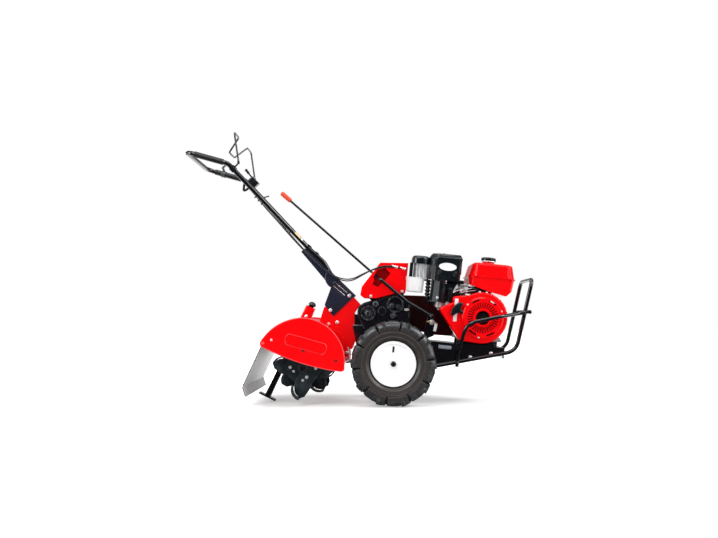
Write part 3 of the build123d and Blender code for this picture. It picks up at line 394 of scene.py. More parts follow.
# Transmission: a black cast case round three shafts, with bearing covers, plugs and a small
# bright plate on its right face. Half shafts of turned steel come out of its axle tubes.
def hex_bolt(bm, place, facing, flats):
    """Washer and six-sided head with a chamfered crown; flats is the spanner's size."""
    size = flats / 1000
    frame_at = standing(place, facing)
    low = Matrix.Translation((0, 0, size * 0.08))
    mid = Matrix.Translation((0, 0, size * 0.42))
    washer = dict(cap_ends=True, segments=20, radius1=size * 0.70, radius2=size * 0.66, depth=size * 0.16)
    bmesh.ops.create_cone(bm, matrix=frame_at @ low, **washer)
    head = dict(cap_ends=True, segments=6, radius1=size * 0.58, radius2=size * 0.58, depth=size * 0.52)
    made = bmesh.ops.create_cone(bm, matrix=frame_at @ mid, **head)["verts"]
    faces = {face for vert in made for face in vert.link_faces}
    crown = max(faces, key=lambda face: face.calc_center_median().dot(Vector(facing)))
    bmesh.ops.inset_individual(bm, faces=[crown], thickness=size * 0.10, depth=size * 0.07)


def bolt_circle(bm, centre, facing, reach, flats, angles):
    """Bolts on a circle in side view, at angles above the front."""
    for angle in angles:
        hex_bolt(bm, centre + side_way(angle) * (reach / 1000), facing, flats)


def extruded(bm, outline, move):
    """Plate with an outline of places, thick by a move. Returns what the move made."""
    face = bm.faces.new([bm.verts.new(place) for place in outline])
    made = bmesh.ops.extrude_face_region(bm, geom=[face])["geom"]
    bmesh.ops.translate(bm, verts=only(bmesh.types.BMVert, made), vec=move)
    return made


def oval_plate(bm, shape, segments, taper, depth, border, sink):
    """Blank oval plate with a raised border, drawn in a frame that gives its size."""
    cone = dict(cap_ends=True, segments=segments, radius1=1, radius2=taper, depth=depth)
    bmesh.ops.create_cone(bm, matrix=shape, **cone)
    front = max(bm.faces, key=lambda face: -face.calc_center_median().y)
    bmesh.ops.inset_individual(bm, faces=[front], thickness=border, depth=sink)


def black_coat(name, colour, gloss, grain, edge, band=0.0022, wear_and_highlight_colour=(0.13, 0.135, 0.15)):
    """Black paint on steel or a casting, paler along a band at its edges: part wear, part painted highlight."""
    coat = Finish(name, specular_ior_level=0.5, coat_weight=0.35, coat_roughness=0.06)
    dust = coat.noise(11, 4).step(0.5, 0.9) * 0.35
    edge_wear_and_highlight = coat.edges(band) * coat.noise(45, 3).step(0.3, 0.7) * edge
    pale = tuple(2.2 * c + 0.02 for c in colour)
    coat.set("Base Color", edge_wear_and_highlight.blend(dust.blend(colour, pale), wear_and_highlight_colour))
    coat.set("Roughness", coat.noise(40, 3) * 0.1 + gloss)
    coat.relief(coat.noise(grain, 2), 0.12, 0.0004, 0.0016)
    return coat.material


def bare_metal(name, colour, gloss, shade=0.7):
    """Bare or plated metal with faint stains."""
    metal = Finish(name, metallic=0.6, specular_ior_level=0.6)
    deep = tuple(shade * c for c in colour)
    metal.set("Base Color", metal.noise(34, 4).step(0.4, 0.85).blend(colour, deep))
    metal.set("Roughness", metal.noise(90, 3) * 0.2 + gloss)
    metal.relief(metal.noise(480, 2), 0.08, 0.0004, 0.0008)
    return metal.material


# On the case the wide pale blue-grey band along its edges is a painted highlight on the rims of its bosses.
case_black = black_coat("case_black", (0.004, 0.004, 0.008), 0.22, 230, 1.0, 0.0045, (0.26, 0.29, 0.32))
zinc = bare_metal("bright_zinc", (0.95, 0.95, 0.96), 0.24, 0.85)
dark_steel = bare_metal("dark_steel", (0.045, 0.045, 0.05), 0.22)
dress(case_black, "transmission_case")
dress(dark_steel, "half_shaft_right", "half_shaft_left")

CASE_PLUGS = ((-88, 84, 497, 17), (-125, 82, 449, 20), (26, 86, 480, 11), (-7, 86, 487, 11), (2, 78, 437, 13))
case_bolts = bmesh.new()
for x, z, reach in ((12, 494, 39), (-125, 449, 33)):
    bolt_circle(case_bolts, at(x, -78, z), RIGHT, reach, 7, (22.918 + 60 * number for number in range(6)))
for x, y, z, flats in CASE_PLUGS:
    hex_bolt(case_bolts, at(x, -y, z), RIGHT, flats)
for side in SIDES:
    bolt_circle(case_bolts, at(0, side.y * 70, AXLE_Z), side, 50, 9, (-150, -120, -90, -60, -30))
piece("case_bolts", case_bolts, case_black)

WEB = ((-208, 392), (-96, 392), (-84, 300), (-140, 262), (-186, 286))
web = bmesh.new()
extruded(web, [at(x, -48, z) for x, z in WEB], LEFT * 0.096)
soften(web, web.edges, 6)
piece("case_web", web, case_black)

axle_seals = bmesh.new()
for side in SIDES:
    end = at(0, side.y * 126, AXLE_Z)
    turned(axle_seals, end, side, (13.2, 0), (30, 0), (30, 1.5), (27, 4), (17, 4), (14, 2.5), (13.2, 0))
piece("axle_seals", axle_seals, moulded_black)

case_shape = standing(at(69, -70.4, 467), RIGHT) @ Matrix.Diagonal((0.013, 0.007, 0.001, 1))
case_plate = bmesh.new()
oval_plate(case_plate, case_shape, 40, 0.92, 1.4, 0.0011, -0.0003)
piece("case_plate", case_plate, zinc)


# Tine drive: a sand casting in the same red as the panels, bolted to the back of the
# transmission. It carries the tine shaft, the hood and the plates of the handle.
RED = (0.88, 0.0003, 0.0024)


def red_enamel(name, grain, strength, gloss, colour=RED):
    """Red enamel, deeper in patches, smooth on sheet and grained on castings."""
    paint = Finish(name, specular_ior_level=0.12, coat_weight=0.12, coat_roughness=0.04)
    deep = tuple(0.9 * c for c in colour)
    paint.set("Base Color", paint.noise(6, 3).step(0.35, 0.85).blend(colour, deep))
    paint.set("Roughness", paint.noise(60, 2) * 0.12 + gloss)
    paint.relief(paint.noise(grain, 3), strength, 0.0005, 0.002)
    return paint.material


cast_red = red_enamel("cast_red", 300, 0.3, 0.26)
panel_red = red_enamel("panel_red", 140, 0.05, 0.14)
dress(cast_red, "tine_drive_case")

SHIELD_REAR, SHIELD_TOP, SHIELD_FRONT = (-628, 312), (-436, 426), (-231, 217)
SHIELD_REAR_VIA, SHIELD_FRONT_VIA = (-556, 386), (-292, 366)


def arc_circle(a, b, c):
    """Middle and radius of the circle through three points in side view."""
    (ax, az), (bx, bz), (cx, cz) = a, b, c
    d = 2 * (ax * (bz - cz) + bx * (cz - az) + cx * (az - bz))
    aa, bb, cc = ax * ax + az * az, bx * bx + bz * bz, cx * cx + cz * cz
    x = (aa * (bz - cz) + bb * (cz - az) + cc * (az - bz)) / d
    z = (aa * (cx - bx) + bb * (ax - cx) + cc * (bx - ax)) / d
    return x, z, ((ax - x) ** 2 + (az - z) ** 2) ** 0.5


front_x, front_z, front_radius = arc_circle(SHIELD_TOP, SHIELD_FRONT_VIA, SHIELD_FRONT)
drive_bolts = bmesh.new()
for side in SIDES:
    hex_bolt(drive_bolts, at(-282, side.y * 46, 403), side, 14)
    bolt_circle(drive_bolts, at(front_x, side.y * 64, front_z), side, front_radius + 3, 10, (-3, 9, 57))
piece("drive_bolts", drive_bolts, zinc)


# Tine rotor: sickle tines bolted in fours to round flanges, all dipped in a thin blue-grey
# paint, on a shaft that turns in the casting.
tine_paint = Finish("tine_paint", metallic=0.25, specular_ior_level=0.5)
tine_worn = tine_paint.edges(0.003) * tine_paint.noise(50, 3).step(0.35, 0.65)
tine_tone = tine_paint.noise(16, 4).step(0.4, 0.8).blend((0.016, 0.024, 0.029), (0.060, 0.085, 0.095))
tine_paint.set("Base Color", tine_worn.blend(tine_tone, (0.22, 0.24, 0.25)))
tine_paint.set("Roughness", tine_paint.noise(60, 3) * 0.25 + 0.26)
tine_paint.relief(tine_paint.noise(150, 3), 0.18, 0.0006, 0.0015)
dress(tine_paint.material, "tine_gang_right", "tine_gang_left")
dress(dark_steel, "tine_shaft")

TINE_X, TINE_Z = -435, 186
BLADE = (
    *((70, 62), (18, 62), (8, 30), (6, -20), (14, -62), (30, -92)),
    *((52, -112), (93, -117), (104, -96), (98, -60), (84, -20), (76, 20)),
)


def rim_of(made):
    """The edges round the far face of an extrusion."""
    verts = only(bmesh.types.BMVert, made)
    return {edge for vert in verts for edge in vert.link_edges if edge.other_vert(vert) in verts}


tines = [
    (side, station, -1 if step % 2 else 1, side_way(first - 90 * step), side_way(first + 90 - 90 * step))
    for side in SIDES
    for station, first in ((100, 0), (200, -45))
    for step in range(4)
]
blades = bmesh.new()
for side, station, lean, along, up in tines:
    root = at(TINE_X, side.y * (station + lean * 3.2), TINE_Z)
    outline = [root + along * (x / 1000) + up * (z / 1000) for x, z in BLADE]
    soften(blades, rim_of(extruded(blades, outline, side * (lean * 0.0077))), 1.5, 2)
for side in SIDES:
    for radius in (21, 27):
        ring(blades, at(TINE_X, side.y * 203.4, TINE_Z), side, radius, 1.8)
piece("tine_blades", blades, tine_paint.material, "tine_rotor")

tine_bolts = bmesh.new()
for side, station, lean, along, up in tines:
    for rise in (-20, 42):
        out = along * 0.045 + up * (rise / 1000)
        for way, gap in ((lean, 10.5), (-lean, 4)):
            hex_bolt(tine_bolts, at(TINE_X, side.y * (station + way * gap), TINE_Z) + out, side * way, 12)
piece("tine_bolts", tine_bolts, zinc, "tine_rotor")


# Tine shield: two pressed side plates with a rolled rim and a blank raised field, and a curved
# hood between them, all in red enamel; rim and field border carry a painted highlight in pinker red.
dress(panel_red, "shield_sides", "shield_hood")


def wire_curve(places, resolution):
    """Curve along a smooth line that starts and ends at the outer places, and its object."""
    curve = bpy.data.curves.new("wire", "CURVE")
    curve.dimensions = "3D"
    line = curve.splines.new("NURBS")
    line.points.add(len(places) - 1)
    for point, place in zip(line.points, places):
        point.co = (*place, 1)
    line.order_u = min(3, len(places))
    line.use_endpoint_u = True
    line.resolution_u = resolution
    return curve, bpy.data.objects.new("wire", curve)


def thick_mesh(curve, holder, diameter):
    """Mesh of a round wire along a curve, which is then taken away."""
    curve.bevel_depth, curve.bevel_resolution, curve.use_fill_caps = diameter / 2000, 3, True
    mesh = bpy.data.meshes.new_from_object(holder)
    bpy.data.objects.remove(holder)
    bpy.data.curves.remove(curve)
    return mesh


def bent_wire(bm, diameter, *places):
    """Round wire or bead along a smooth line that starts and ends at the outer places."""
    mesh = thick_mesh(*wire_curve(places, 8), diameter)
    bm.from_mesh(mesh)
    bpy.data.meshes.remove(mesh)


def swept_bead(bm, begin, thick, segments, **sweep):
    """Round bead with closed ends, swept about an axis from where it begins."""
    disc = dict(cap_ends=True, segments=segments, radius=thick / 1000, matrix=begin)
    loop = bmesh.ops.create_circle(bm, **disc)["verts"]
    made = bmesh.ops.spin(bm, geom=loop + edges_of(loop), **sweep)["geom_last"]
    bmesh.ops.edgeloop_fill(bm, edges=only(bmesh.types.BMEdge, made))


def arc_bead(bm, y, thick, start, via, end):
    """Rolled rim along an arc of a side plate."""
    x, z = arc_circle(start, via, end)[:2]
    first, last = (Vector((point[0] - x, point[1] - z)) for point in (start, end))
    begin = standing(at(start[0], y, start[1]), Vector((-first.y, 0, first.x)))
    sweep = dict(cent=at(x, y, z), axis=(0, 1, 0), angle=first.angle_signed(last), steps=24)
    swept_bead(bm, begin, thick, 8, **sweep)


SHIELD_Y = 284.8
FIELD, FIELD_UP = side_way(-15.6), side_way(74.4)
FIELD_LINE = (
    *((0, 26), (66, 26), (99, 26), (99, -26), (66, -26)),
    *((-66, -26), (-99, -26), (-99, 26), (-66, 26), (0, 26)),
)
# The rim beads and the field's border bead are a paler, pinker red: a painted highlight along them.
rim_red = red_enamel("rim_red", 140, 0.05, 0.16, (0.90, 0.085, 0.095))
shield_rim = bmesh.new()
for side in SIDES:
    field = at(-414, side.y * SHIELD_Y, 302)
    bent_wire(shield_rim, 3.2, *(field + FIELD * (u / 1000) + FIELD_UP * (v / 1000) for u, v in FIELD_LINE))
    y = side.y * 284
    arc_bead(shield_rim, y, 2.4, SHIELD_REAR, SHIELD_REAR_VIA, SHIELD_TOP)
    arc_bead(shield_rim, y, 2.4, SHIELD_TOP, SHIELD_FRONT_VIA, SHIELD_FRONT)
    arc_bead(shield_rim, y, 2.0, (-250, 173), (-434, 213), (-618, 289))
    bent_wire(shield_rim, 4.4, at(-231, y, 217), at(-232, y, 200), at(-232, y, 174), at(-250, y, 173))
    bent_wire(shield_rim, 4.4, at(-618, y, 289), at(-632, y, 294), at(-628, y, 312))
piece("shield_rim", shield_rim, rim_red)

RIVET = ((0, 1.9), (3, 1.7), (5.5, 0.8), (6, 0), (0, 0))
SCREW = ((0, 0.4), (2.4, 0.4), (2.9, 1.8), (5, 1.6), (6, 0), (0, 0))
shield_screws = bmesh.new()
for side in SIDES:
    for x, z in ((-426, 271), (-271, 224)):
        turned(shield_screws, at(x, side.y * 284.6, z), side, *SCREW, steps=20)
piece("shield_screws", shield_screws, dark_steel)

shield_bolts = bmesh.new()
for side in SIDES:
    turned(shield_bolts, at(-576, side.y * SHIELD_Y, 322), side, *RIVET, steps=24)
rear_x, rear_z, rear_radius = arc_circle(SHIELD_REAR, SHIELD_REAR_VIA, SHIELD_TOP)
for y in (-262, -130, 130, 262):
    for angle in (104, 136):
        bolt_circle(shield_bolts, at(rear_x, y, rear_z), side_way(angle), rear_radius - 5, 9, (angle,))
piece("shield_bolts", shield_bolts, zinc)


# Rear flap: a bent sheet of pale galvanised steel that hangs on a rod through the side
# plates; its lower edge is folded into a hem, and dark trim covers its side edges.
galvanised = Finish("galvanised", metallic=0.45, specular_ior_level=0.4)
spangle = galvanised.noise(46, 3)
galvanised.set("Base Color", spangle.step(0.35, 0.7).blend((0.60, 0.61, 0.61), (0.74, 0.75, 0.75)))
galvanised.set("Roughness", spangle * 0.2 + 0.36)
galvanised.relief(galvanised.noise(70, 3), 0.06, 0.0005, 0.0008)
dress(galvanised.material, "rear_flap")
dress(dark_steel, "flap_rod")
flap_hem = bmesh.new()
bent_wire(flap_hem, 5, at(-699.4, -271, 55), at(-699.4, 271, 55))
for y in (-271, 271):
    bent_wire(flap_hem, 4, at(-622, y, 295), at(-710, y, 106))
    bent_wire(flap_hem, 4, at(-713, y, 100), at(-699.5, y, 56))
piece("flap_hem", flap_hem, galvanised.material, "flap")
flap_edge = bmesh.new()
for y in (-272, 272):
    bent_wire(flap_edge, 4.4, at(-625, y, 293.5), at(-713, y, 104))
    bent_wire(flap_edge, 4.4, at(-715, y, 100), at(-701.5, y, 56))
piece("flap_edge_trim", flap_edge, moulded_black, "flap")
# The rod clips take the pinker red of the rim's painted highlight.
ROD_CLIP = ((0, 0), (7, 0), (7, 0.8), (4.5, 1), (4, 1.8), (0, 1.8))
rod_clips = bmesh.new()
for side in SIDES:
    turned(rod_clips, at(-616, side.y * SHIELD_Y, 307), side, *ROD_CLIP, steps=24)
piece("flap_rod_clips", rod_clips, rim_red)


# Drag bar: a square black stake with a foot and a round plastic top, in a red sleeve, where a
# plated pin with a spring clip holds it.
tube_black = black_coat("tube_black", (0.004, 0.004, 0.006), 0.07, 600, 0.5)
dress(tube_black, "drag_bar")
dress(panel_red, "drag_sleeve")
STAKE, STAKE_FRONT = side_way(64), side_way(-26)
stake_pin = at(-640, 0, 27.4) + STAKE * 0.452
PIN_HEAD = ((0, 0), (8, 0), (8, 3), (5.5, 4), (5.5, 9), (4, 10.5), (0, 10.5))
drag_pin = bmesh.new()
turned(drag_pin, stake_pin + RIGHT * 0.025, RIGHT, *PIN_HEAD)
turned(drag_pin, stake_pin + LEFT * 0.025, LEFT, (0, 0), (5, 0), (5, 12), (3.5, 14), (0, 14))
ring(drag_pin, stake_pin + LEFT * 0.034 + STAKE_FRONT * 0.012, LEFT, 11, 1.4, steps=32)
lock = stake_pin + STAKE_FRONT * 0.025 - STAKE * 0.020
turned(drag_pin, lock, STAKE_FRONT, (0, 0), (9, 0), (9, 8), (6, 9), (6, 17), (4, 18), (0, 18))
lock_end = lock + STAKE_FRONT * 0.026
bent_wire(drag_pin, 4, lock + STAKE_FRONT * 0.016, lock_end, lock_end + STAKE * 0.016)
piece("drag_pin", drag_pin, zinc)


# Handle column: a tapered box of folded plate, dark blue-black, between two bolted plates
# with a worn bright edge. The clamp bolt goes through plates and column, and pressed ribs
# guide its movement.
plate_navy = black_coat("plate_navy", (0.008, 0.0115, 0.030), 0.30, 420, 0.5)
dress(plate_navy, "handle_column", "handle_bracket")


def slanting_lines(bm, y, thick, *shifts):
    """Parallel beads down a plate of the bracket."""
    for shift in shifts:
        bent_wire(bm, thick, at(-297 + shift, y, 592 + shift), at(-240 + shift, y, 544 + shift))


bracket_bolts = bmesh.new()
for side in SIDES:
    for x, z in ((-316, 464), (-220, 538)):
        hex_bolt(bracket_bolts, at(x, side.y * 51.2, z), side, 14)
    slanting_lines(bracket_bolts, side.y * 52, 3, -4, 9)
piece("bracket_bolts", bracket_bolts, zinc)
bracket_ribs = bmesh.new()
for side in SIDES:
    hex_bolt(bracket_ribs, at(-294, side.y * 57, 600), side, 15)
    slanting_lines(bracket_ribs, side.y * 51.4, 6, -12, 2.5, 17)
piece("bracket_ribs", bracket_ribs, plate_navy)
edge_grey = bare_metal("edge_grey", (0.17, 0.18, 0.22), 0.3)
bracket_edges = bmesh.new()
for side in SIDES:
    arc_bead(bracket_edges, side.y * 50.8, 1.5, (-322, 668), (-342, 628), (-313, 580))
piece("bracket_edges", bracket_edges, edge_grey)


# Handlebar: one bent tube in gloss black with foam grips. Two straps hold it to the column,
# and it carries a bare cream sleeve and white tag, cable hooks and a lever on the left grip.
foam_black = moulded("foam_black", (0.006, 0.006, 0.007), 0.40, 1500, 0.4)
label_cream = moulded("label_cream", (0.80, 0.62, 0.30), 0.35, 300, 0.3)
grey_plastic = moulded("grey_plastic", (0.040, 0.048, 0.054), 0.34, 700, 0.4)
dress(tube_black, "handlebar", "console")
dress(foam_black, "grips")
COLUMN_UP, COLUMN_FRONT = Vector((-0.690, 0, 0.724)), Vector((0.724, 0, 0.690))
ROOT_LOW, ROOT_HIGH = at(-353.6, 0, 709), at(-437.7, 0, 787.5)
STRAP_SCREW = ((0, 2), (3, 1.8), (5, 0), (0, 0))
TUBE_TOE = ((12, -2), (11.6, 8), (9, 34), (5, 62), (2, 72), (0, 73), (0, -2))
straps = bmesh.new()
for share in (0.5, 0.95):
    spot = ROOT_LOW.lerp(ROOT_HIGH, share) + COLUMN_FRONT * 0.0138
    slab(straps, spot, (74, 18, 3), LEFT, COLUMN_FRONT, 1.0, 6)
    for y in (-30, 30):
        screw_at = spot + COLUMN_FRONT * 0.001 + LEFT * (y / 1000)
        turned(straps, screw_at, COLUMN_FRONT, *STRAP_SCREW, steps=20)
for side in SIDES:
    turned(straps, ROOT_LOW + side * 0.024, -COLUMN_UP - COLUMN_FRONT * 0.14, *TUBE_TOE, steps=24)
piece("handle_straps", straps, tube_black, "handle")


def leg(share, side):
    """A place on the axis of a slanting leg of the handlebar, and the leg's direction."""
    low, high = at(-437.7, side.y * 24, 787.5), at(-799, side.y * 206, 1172)
    return low.lerp(high, share), (high - low).normalized()


spot, run = leg(0.136, RIGHT)
sleeve_out = (RIGHT * 0.8 + run.cross(LEFT).normalized() * -0.6).normalized()
sleeve_out = (sleeve_out - run * sleeve_out.dot(run)).normalized()
sleeve = bmesh.new()
slab(sleeve, spot + sleeve_out * 0.0118, (40, 11, 2), run, sleeve_out, 0.7, 2)
piece("cream_sleeve", sleeve, label_cream, "handle")
tag_white = moulded("tag_white", (0.80, 0.80, 0.80), 0.35, 300, 0.3)
end_tag = bmesh.new()
slab(end_tag, spot + sleeve_out * 0.0118 - run * 0.029, (13, 11, 2), run, sleeve_out, 0.7, 2)
piece("end_tag", end_tag, tag_white, "handle")
hooks = bmesh.new()
for share in (0.2, 0.33, 0.46):
    spot, run = leg(share, RIGHT)
    turned(hooks, spot, run, (12.1, 0), (14, 0), (14, 5), (12.1, 5), (12.1, 0), steps=32)
    slab(hooks, spot + RIGHT * 0.0145, (9, 7, 6), run, RIGHT, 0.8)
clip, run = leg(0.58, RIGHT)
lift = run.cross(LEFT).normalized()
lift = lift if lift.z > 0 else -lift
bent_wire(hooks, 7, clip + lift * 0.010, clip + lift * 0.018, clip + lift * 0.020 + Vector((0.020, 0, 0.003)))
for share in (0.555, 0.595, 0.635, 0.73):
    spot = leg(share, RIGHT)[0]
    bent_wire(hooks, 6, spot - lift * 0.010, spot - lift * 0.022)
HOOK = ((-14, -45), (-8, -56), (14, -40))
hook = leg(0.99, LEFT)[0]
bent_wire(hooks, 13, hook - lift * 0.008, *(hook + Vector((x / 1000, 0, z / 1000)) for x, z in HOOK))
piece("cable_hooks", hooks, moulded_black, "handle")

HAND_CLAMP = ((14.7, 0), (17.5, 0), (17.5, 22), (14.7, 22), (14.7, 0))
hand_lever = bmesh.new()
turned(hand_lever, at(-905, 206, 1201.3), Vector((-205, 0, 57)), *HAND_CLAMP)
slab(hand_lever, at(-917, 206, 1229), (30, 24, 9), (-0.35, 0, 0.94), (0.94, 0, 0.35), 2.5, 5)
slab(hand_lever, at(-908, 206, 1252), (30, 22, 7), (0.72, 0, 0.69), (0.69, 0, -0.72), 2.5, 5)
piece("hand_lever", hand_lever, grey_plastic, "handle")


# Clutch bail and throttle: a bent wire on two clamps, and a moulded box with a small stalk
# on the plate between the legs.
dress(tube_black, "clutch_bail")
dress(moulded_black, "bail_brackets", "throttle_lever")
plate_run = Vector((-0.617, 0, 0.657)).normalized()
plate_up = Vector((plate_run.z, 0, -plate_run.x))
plate_bolts = bmesh.new()
for y in (-14, 14):
    for shift in (-18, 18):
        spot = at(-733.5, y, 1102.3) + plate_up * 0.0447 + plate_run * (shift / 1000)
        hex_bolt(plate_bolts, spot, plate_up, 4)
piece("handle_bolts", plate_bolts, zinc, "handle")


# Control cables: two black sheathed wires from the throttle plate along the column to the
# gear cover, where each ends in a plated adjuster.
cable_sheath = moulded("cable_sheath", (0.008, 0.008, 0.009), 0.34, 1100, 0.4)
ADJUSTER = ((3.2, 0), (4.2, 0), (4.2, 12), (5.6, 13), (5.6, 18), (4.2, 19), (4.2, 30), (0, 31))
adjusters = bmesh.new()
for number, end_x in enumerate((6, 46)):
    y, dip = -62 - 8 * number, 9 * number
    route = (
        *((-725.5, y - 20, 1079.3), (-691.5, y - 16, 1041.3), (-633, y - 8, 978 - dip)),
        *((-576, y - 4, 916 - dip), (-512, y, 841 - dip), (-438, y, 758 - dip / 2)),
        *((-372, y, 690), (-318, y, 648), (-262, y - 6, 622 - dip)),
        *((-206, y - 20, 618 - dip), (-150, -92, 646 - dip / 2), (-92, -92, 672)),
        *((end_x - 50, -92, 686 - dip / 2), (end_x, -92, 684 - dip), (end_x + 18, -91.4, 678 - dip)),
    )
    curve, holder = wire_curve([at(*place) for place in route], 10)
    bare = bpy.data.meshes.new_from_object(holder)
    path = [vert.co.copy() for vert in bare.vertices]
    bpy.data.meshes.remove(bare)
    mesh = thick_mesh(curve, holder, 6)
    mesh.name = "control_cable_%d" % (number + 1)
    mesh.materials.clear()
    mesh.materials.append(cable_sheath)
    mesh.shade_smooth()
    cable = bpy.data.objects.new(mesh.name, mesh)
    bpy.context.collection.objects.link(cable)
    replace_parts(cable, "control_cables")
    at(-372, y, 690)
    at(-206, y - 20, 618)
    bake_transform(cable)
    tail = (path[-1] - path[-2]).normalized()
    turned(adjusters, path[-1] - tail * 0.030, tail, *ADJUSTER, steps=20)
    slab(adjusters, path[-1] - tail * 0.004 + LEFT * 0.002, (7, 15, 4), tail, RIGHT, 0.8, 2)
piece("cable_adjusters", adjusters, zinc)


# Shift: a thin lever with a soft orange-red knob comes out of a gate in the gear cover and
# goes down to its pivot on a stay of the engine bed. A plated tap with brass ends and a bare
# white tag sits beside it.
knob_red = moulded("knob_red", (0.78, 0.075, 0.030), 0.34, 500, 0.35)
dress(knob_red, "shift_knob")
dress(tube_black, "shift_lever", "shift_bracket")
dress(panel_red, "gear_cover")
# The gate's floor is a deep dark red: painted shade in the recess of the gear cover.
gate_red = red_enamel("gate_red", 140, 0.05, 0.12, (0.24, 0.0008, 0.0015))
GATE = (
    *((-98, 632), (-79, 663), (-41, 675), (-12, 649), (-37, 618)),
    *((-55, 600), (-76, 581), (-104, 593), (-93, 614)),
)
gate = bmesh.new()
extruded(gate, [at(x, -67.1, z) for x, z in GATE], LEFT * 0.0005)
piece("gate_floor", gate, gate_red)
pivot = bmesh.new()
hex_bolt(pivot, at(192, -124, 434), RIGHT, 11)
for x, z in ((146, 262), (166, 262)):
    hex_bolt(pivot, at(x, -64.2, z), RIGHT, 10)
piece("shift_pivot", pivot, tube_black)
shift_bolts = bmesh.new()
for side in SIDES:
    for x, z in ((-111, 534), (46, 558)):
        hex_bolt(shift_bolts, at(x, side.y * 87.8, z), side, 11)
piece("shift_bolts", shift_bolts, zinc)

KNOB = at(-546, -44, 1042)
KNOB_END = ((0, 4), (6, 3), (10, 0.5), (11.2, -1), (0, -1))
knob_run = Vector((-442, 0, 388)).normalized()
knob_ribs = bmesh.new()
for number in range(5):
    ring(knob_ribs, KNOB + knob_run * (0.012 - 0.010 * number), knob_run, 11.3, 1.0, steps=32)
turned(knob_ribs, KNOB + knob_run * 0.0219, knob_run, *KNOB_END)
piece("knob_ribs", knob_ribs, knob_red)

fuel_tap = bmesh.new()
turned(fuel_tap, at(196, -64, 404), RIGHT, (0, 0), (14, 0), (14, 9), (11, 11), (11, 16), (6, 18), (0, 18))
hex_bolt(fuel_tap, at(196, -82, 404), RIGHT, 9)
piece("fuel_tap", fuel_tap, zinc)
brass = bare_metal("brass", (0.80, 0.52, 0.16), 0.24)
tap_ends = bmesh.new()
for place, way in ((at(183, -73, 406), Vector((-1, 0, 0.1))), (at(209, -73, 402), Vector((1, 0, -0.4)))):
    turned(tap_ends, place, way, (0, 0), (6, 0), (6, 6), (4, 7), (4, 14), (0, 15), steps=20)
piece("tap_ends", tap_ends, brass)
cup_white = moulded("cup_white", (0.80, 0.80, 0.81), 0.30, 500, 0.4)
tag = bmesh.new()
slab(tag, at(212, -86, 378), (40, 15, 0.9), (0.22, 0, 0.97), RIGHT, 0.3, 2)
bent_wire(tag, 1.5, at(218, -80, 401), at(219, -84, 398), at(217, -86, 394))
piece("blank_tag", tag, cup_white)


# Belt drive: a pressed red cover over the belt on the left side, bolted to a back plate, with
# a round bead pressed over each pulley.
dress(panel_red, "belt_cover")
# The back plate is a deep red as painted shade, lighter towards its top in cloudy patches as painted light.
back_red = Finish("back_red", roughness=0.35, specular_ior_level=0.3)
back_painted_light = back_red.axis("Z").step(0.40, 0.62) * back_red.noise(9, 3).step(0.2, 0.8)
back_red.set("Base Color", back_painted_light.blend((0.055, 0.0008, 0.002), (0.32, 0.0024, 0.008)))
dress(back_red.material, "belt_cover_back")
CRANK_X, CRANK_Z = 435, 426
belt_bolts = bmesh.new()
for x, z, reach, first, sweep in ((CRANK_X, CRANK_Z, 74, -110, 220), (20, 470, 46, 80, 200)):
    angles = (first + sweep * number / 3 for number in range(4))
    bolt_circle(belt_bolts, at(x, 150, z), LEFT, reach, 10, angles)
piece("belt_bolts", belt_bolts, zinc)
belt_beads = bmesh.new()
for x, z, reach in ((CRANK_X, CRANK_Z, 52), (20, 470, 30)):
    ring(belt_beads, at(x, 149.6, z), LEFT, reach, 2.6)
    turned(belt_beads, at(x, 149.8, z), LEFT, (0, 2.4), (12, 2.2), (15, 0), (0, 0))
for low, high in (((90, 500), (330, 480)), ((110, 440), (330, 415))):
    bent_wire(belt_beads, 5.5, at(low[0], 149.4, low[1]), at(high[0], 149.4, high[1]))
piece("belt_cover_beads", belt_beads, panel_red)


# Engine bed and guard: folded black plate in front of the transmission with a blank silver
# plate and rails on it, a hoop of black tube round the engine, a bowed side bar, and a cross
# bar with plastic end plugs.
dress(tube_black, "engine_bed", "front_guard", "guard_cross_bar", "guard_side_bar")
dress(moulded_black, "engine_mounts")
bed_bolts = bmesh.new()
for side in SIDES:
    for x, z in ((381, 231), (483, 249)):
        hex_bolt(bed_bolts, at(x, side.y * 130, z), side, 14)
piece("bed_bolts", bed_bolts, zinc)
BED_RUN = (0.995, 0, -0.098)
rails = bmesh.new()
for y in (-112, 112):
    slab(rails, at(424, y, 295.6), (160, 30, 14), BED_RUN, LEFT, 1.5)
piece("engine_rails", rails, tube_black)
bar_bolts = bmesh.new()
for x, z, y in ((650, 454, 168.4), (314, 206, 168.2)):
    hex_bolt(bar_bolts, at(x, -y, z), RIGHT, 11)
piece("side_bar_bolts", bar_bolts, tube_black)
plate_silver = bare_metal("plate_silver", (0.46, 0.52, 0.60), 0.34)
bed_plate = bmesh.new()
slab(bed_plate, at(256, -130.4, 281), (64, 17, 0.9), BED_RUN, RIGHT, 0.3, 2)
for shift in (-28, 28):
    spot = at(256 + shift, -130.8, 281 - 0.098 * shift)
    turned(bed_plate, spot, RIGHT, (0, 0.9), (1.6, 0.6), (2.2, 0), (0, 0), steps=16)
piece("blank_bed_plate", bed_plate, plate_silver)
PLUG = ((0, 3), (6, 2.4), (9.4, 0.6), (9.6, 0), (7, -6), (0, -6))
plugs = bmesh.new()
for side in SIDES:
    turned(plugs, at(670.6, side.y * 153.3, 455), side, *PLUG)
    turned(plugs, at(205, side.y * 140.3, 188), Vector((-0.983, 0, -0.181)), *PLUG)
piece("tube_plugs", plugs, moulded_black)


# Engine castings: a crankcase of bare sand-cast alloy, and a finned cylinder and a head that
# are dark, with an oil filler and drain at the front and a plug on the left of the head.
TIP = 5.6
ENGINE_UP, ENGINE_FRONT = side_way(90 - TIP), side_way(-TIP)


def on_engine(x, y, z):
    """A place in millimetres from the crankshaft, on the engine that is tipped nose-down."""
    return at(CRANK_X, y, CRANK_Z) + ENGINE_FRONT * (x / 1000) + ENGINE_UP * (z / 1000)


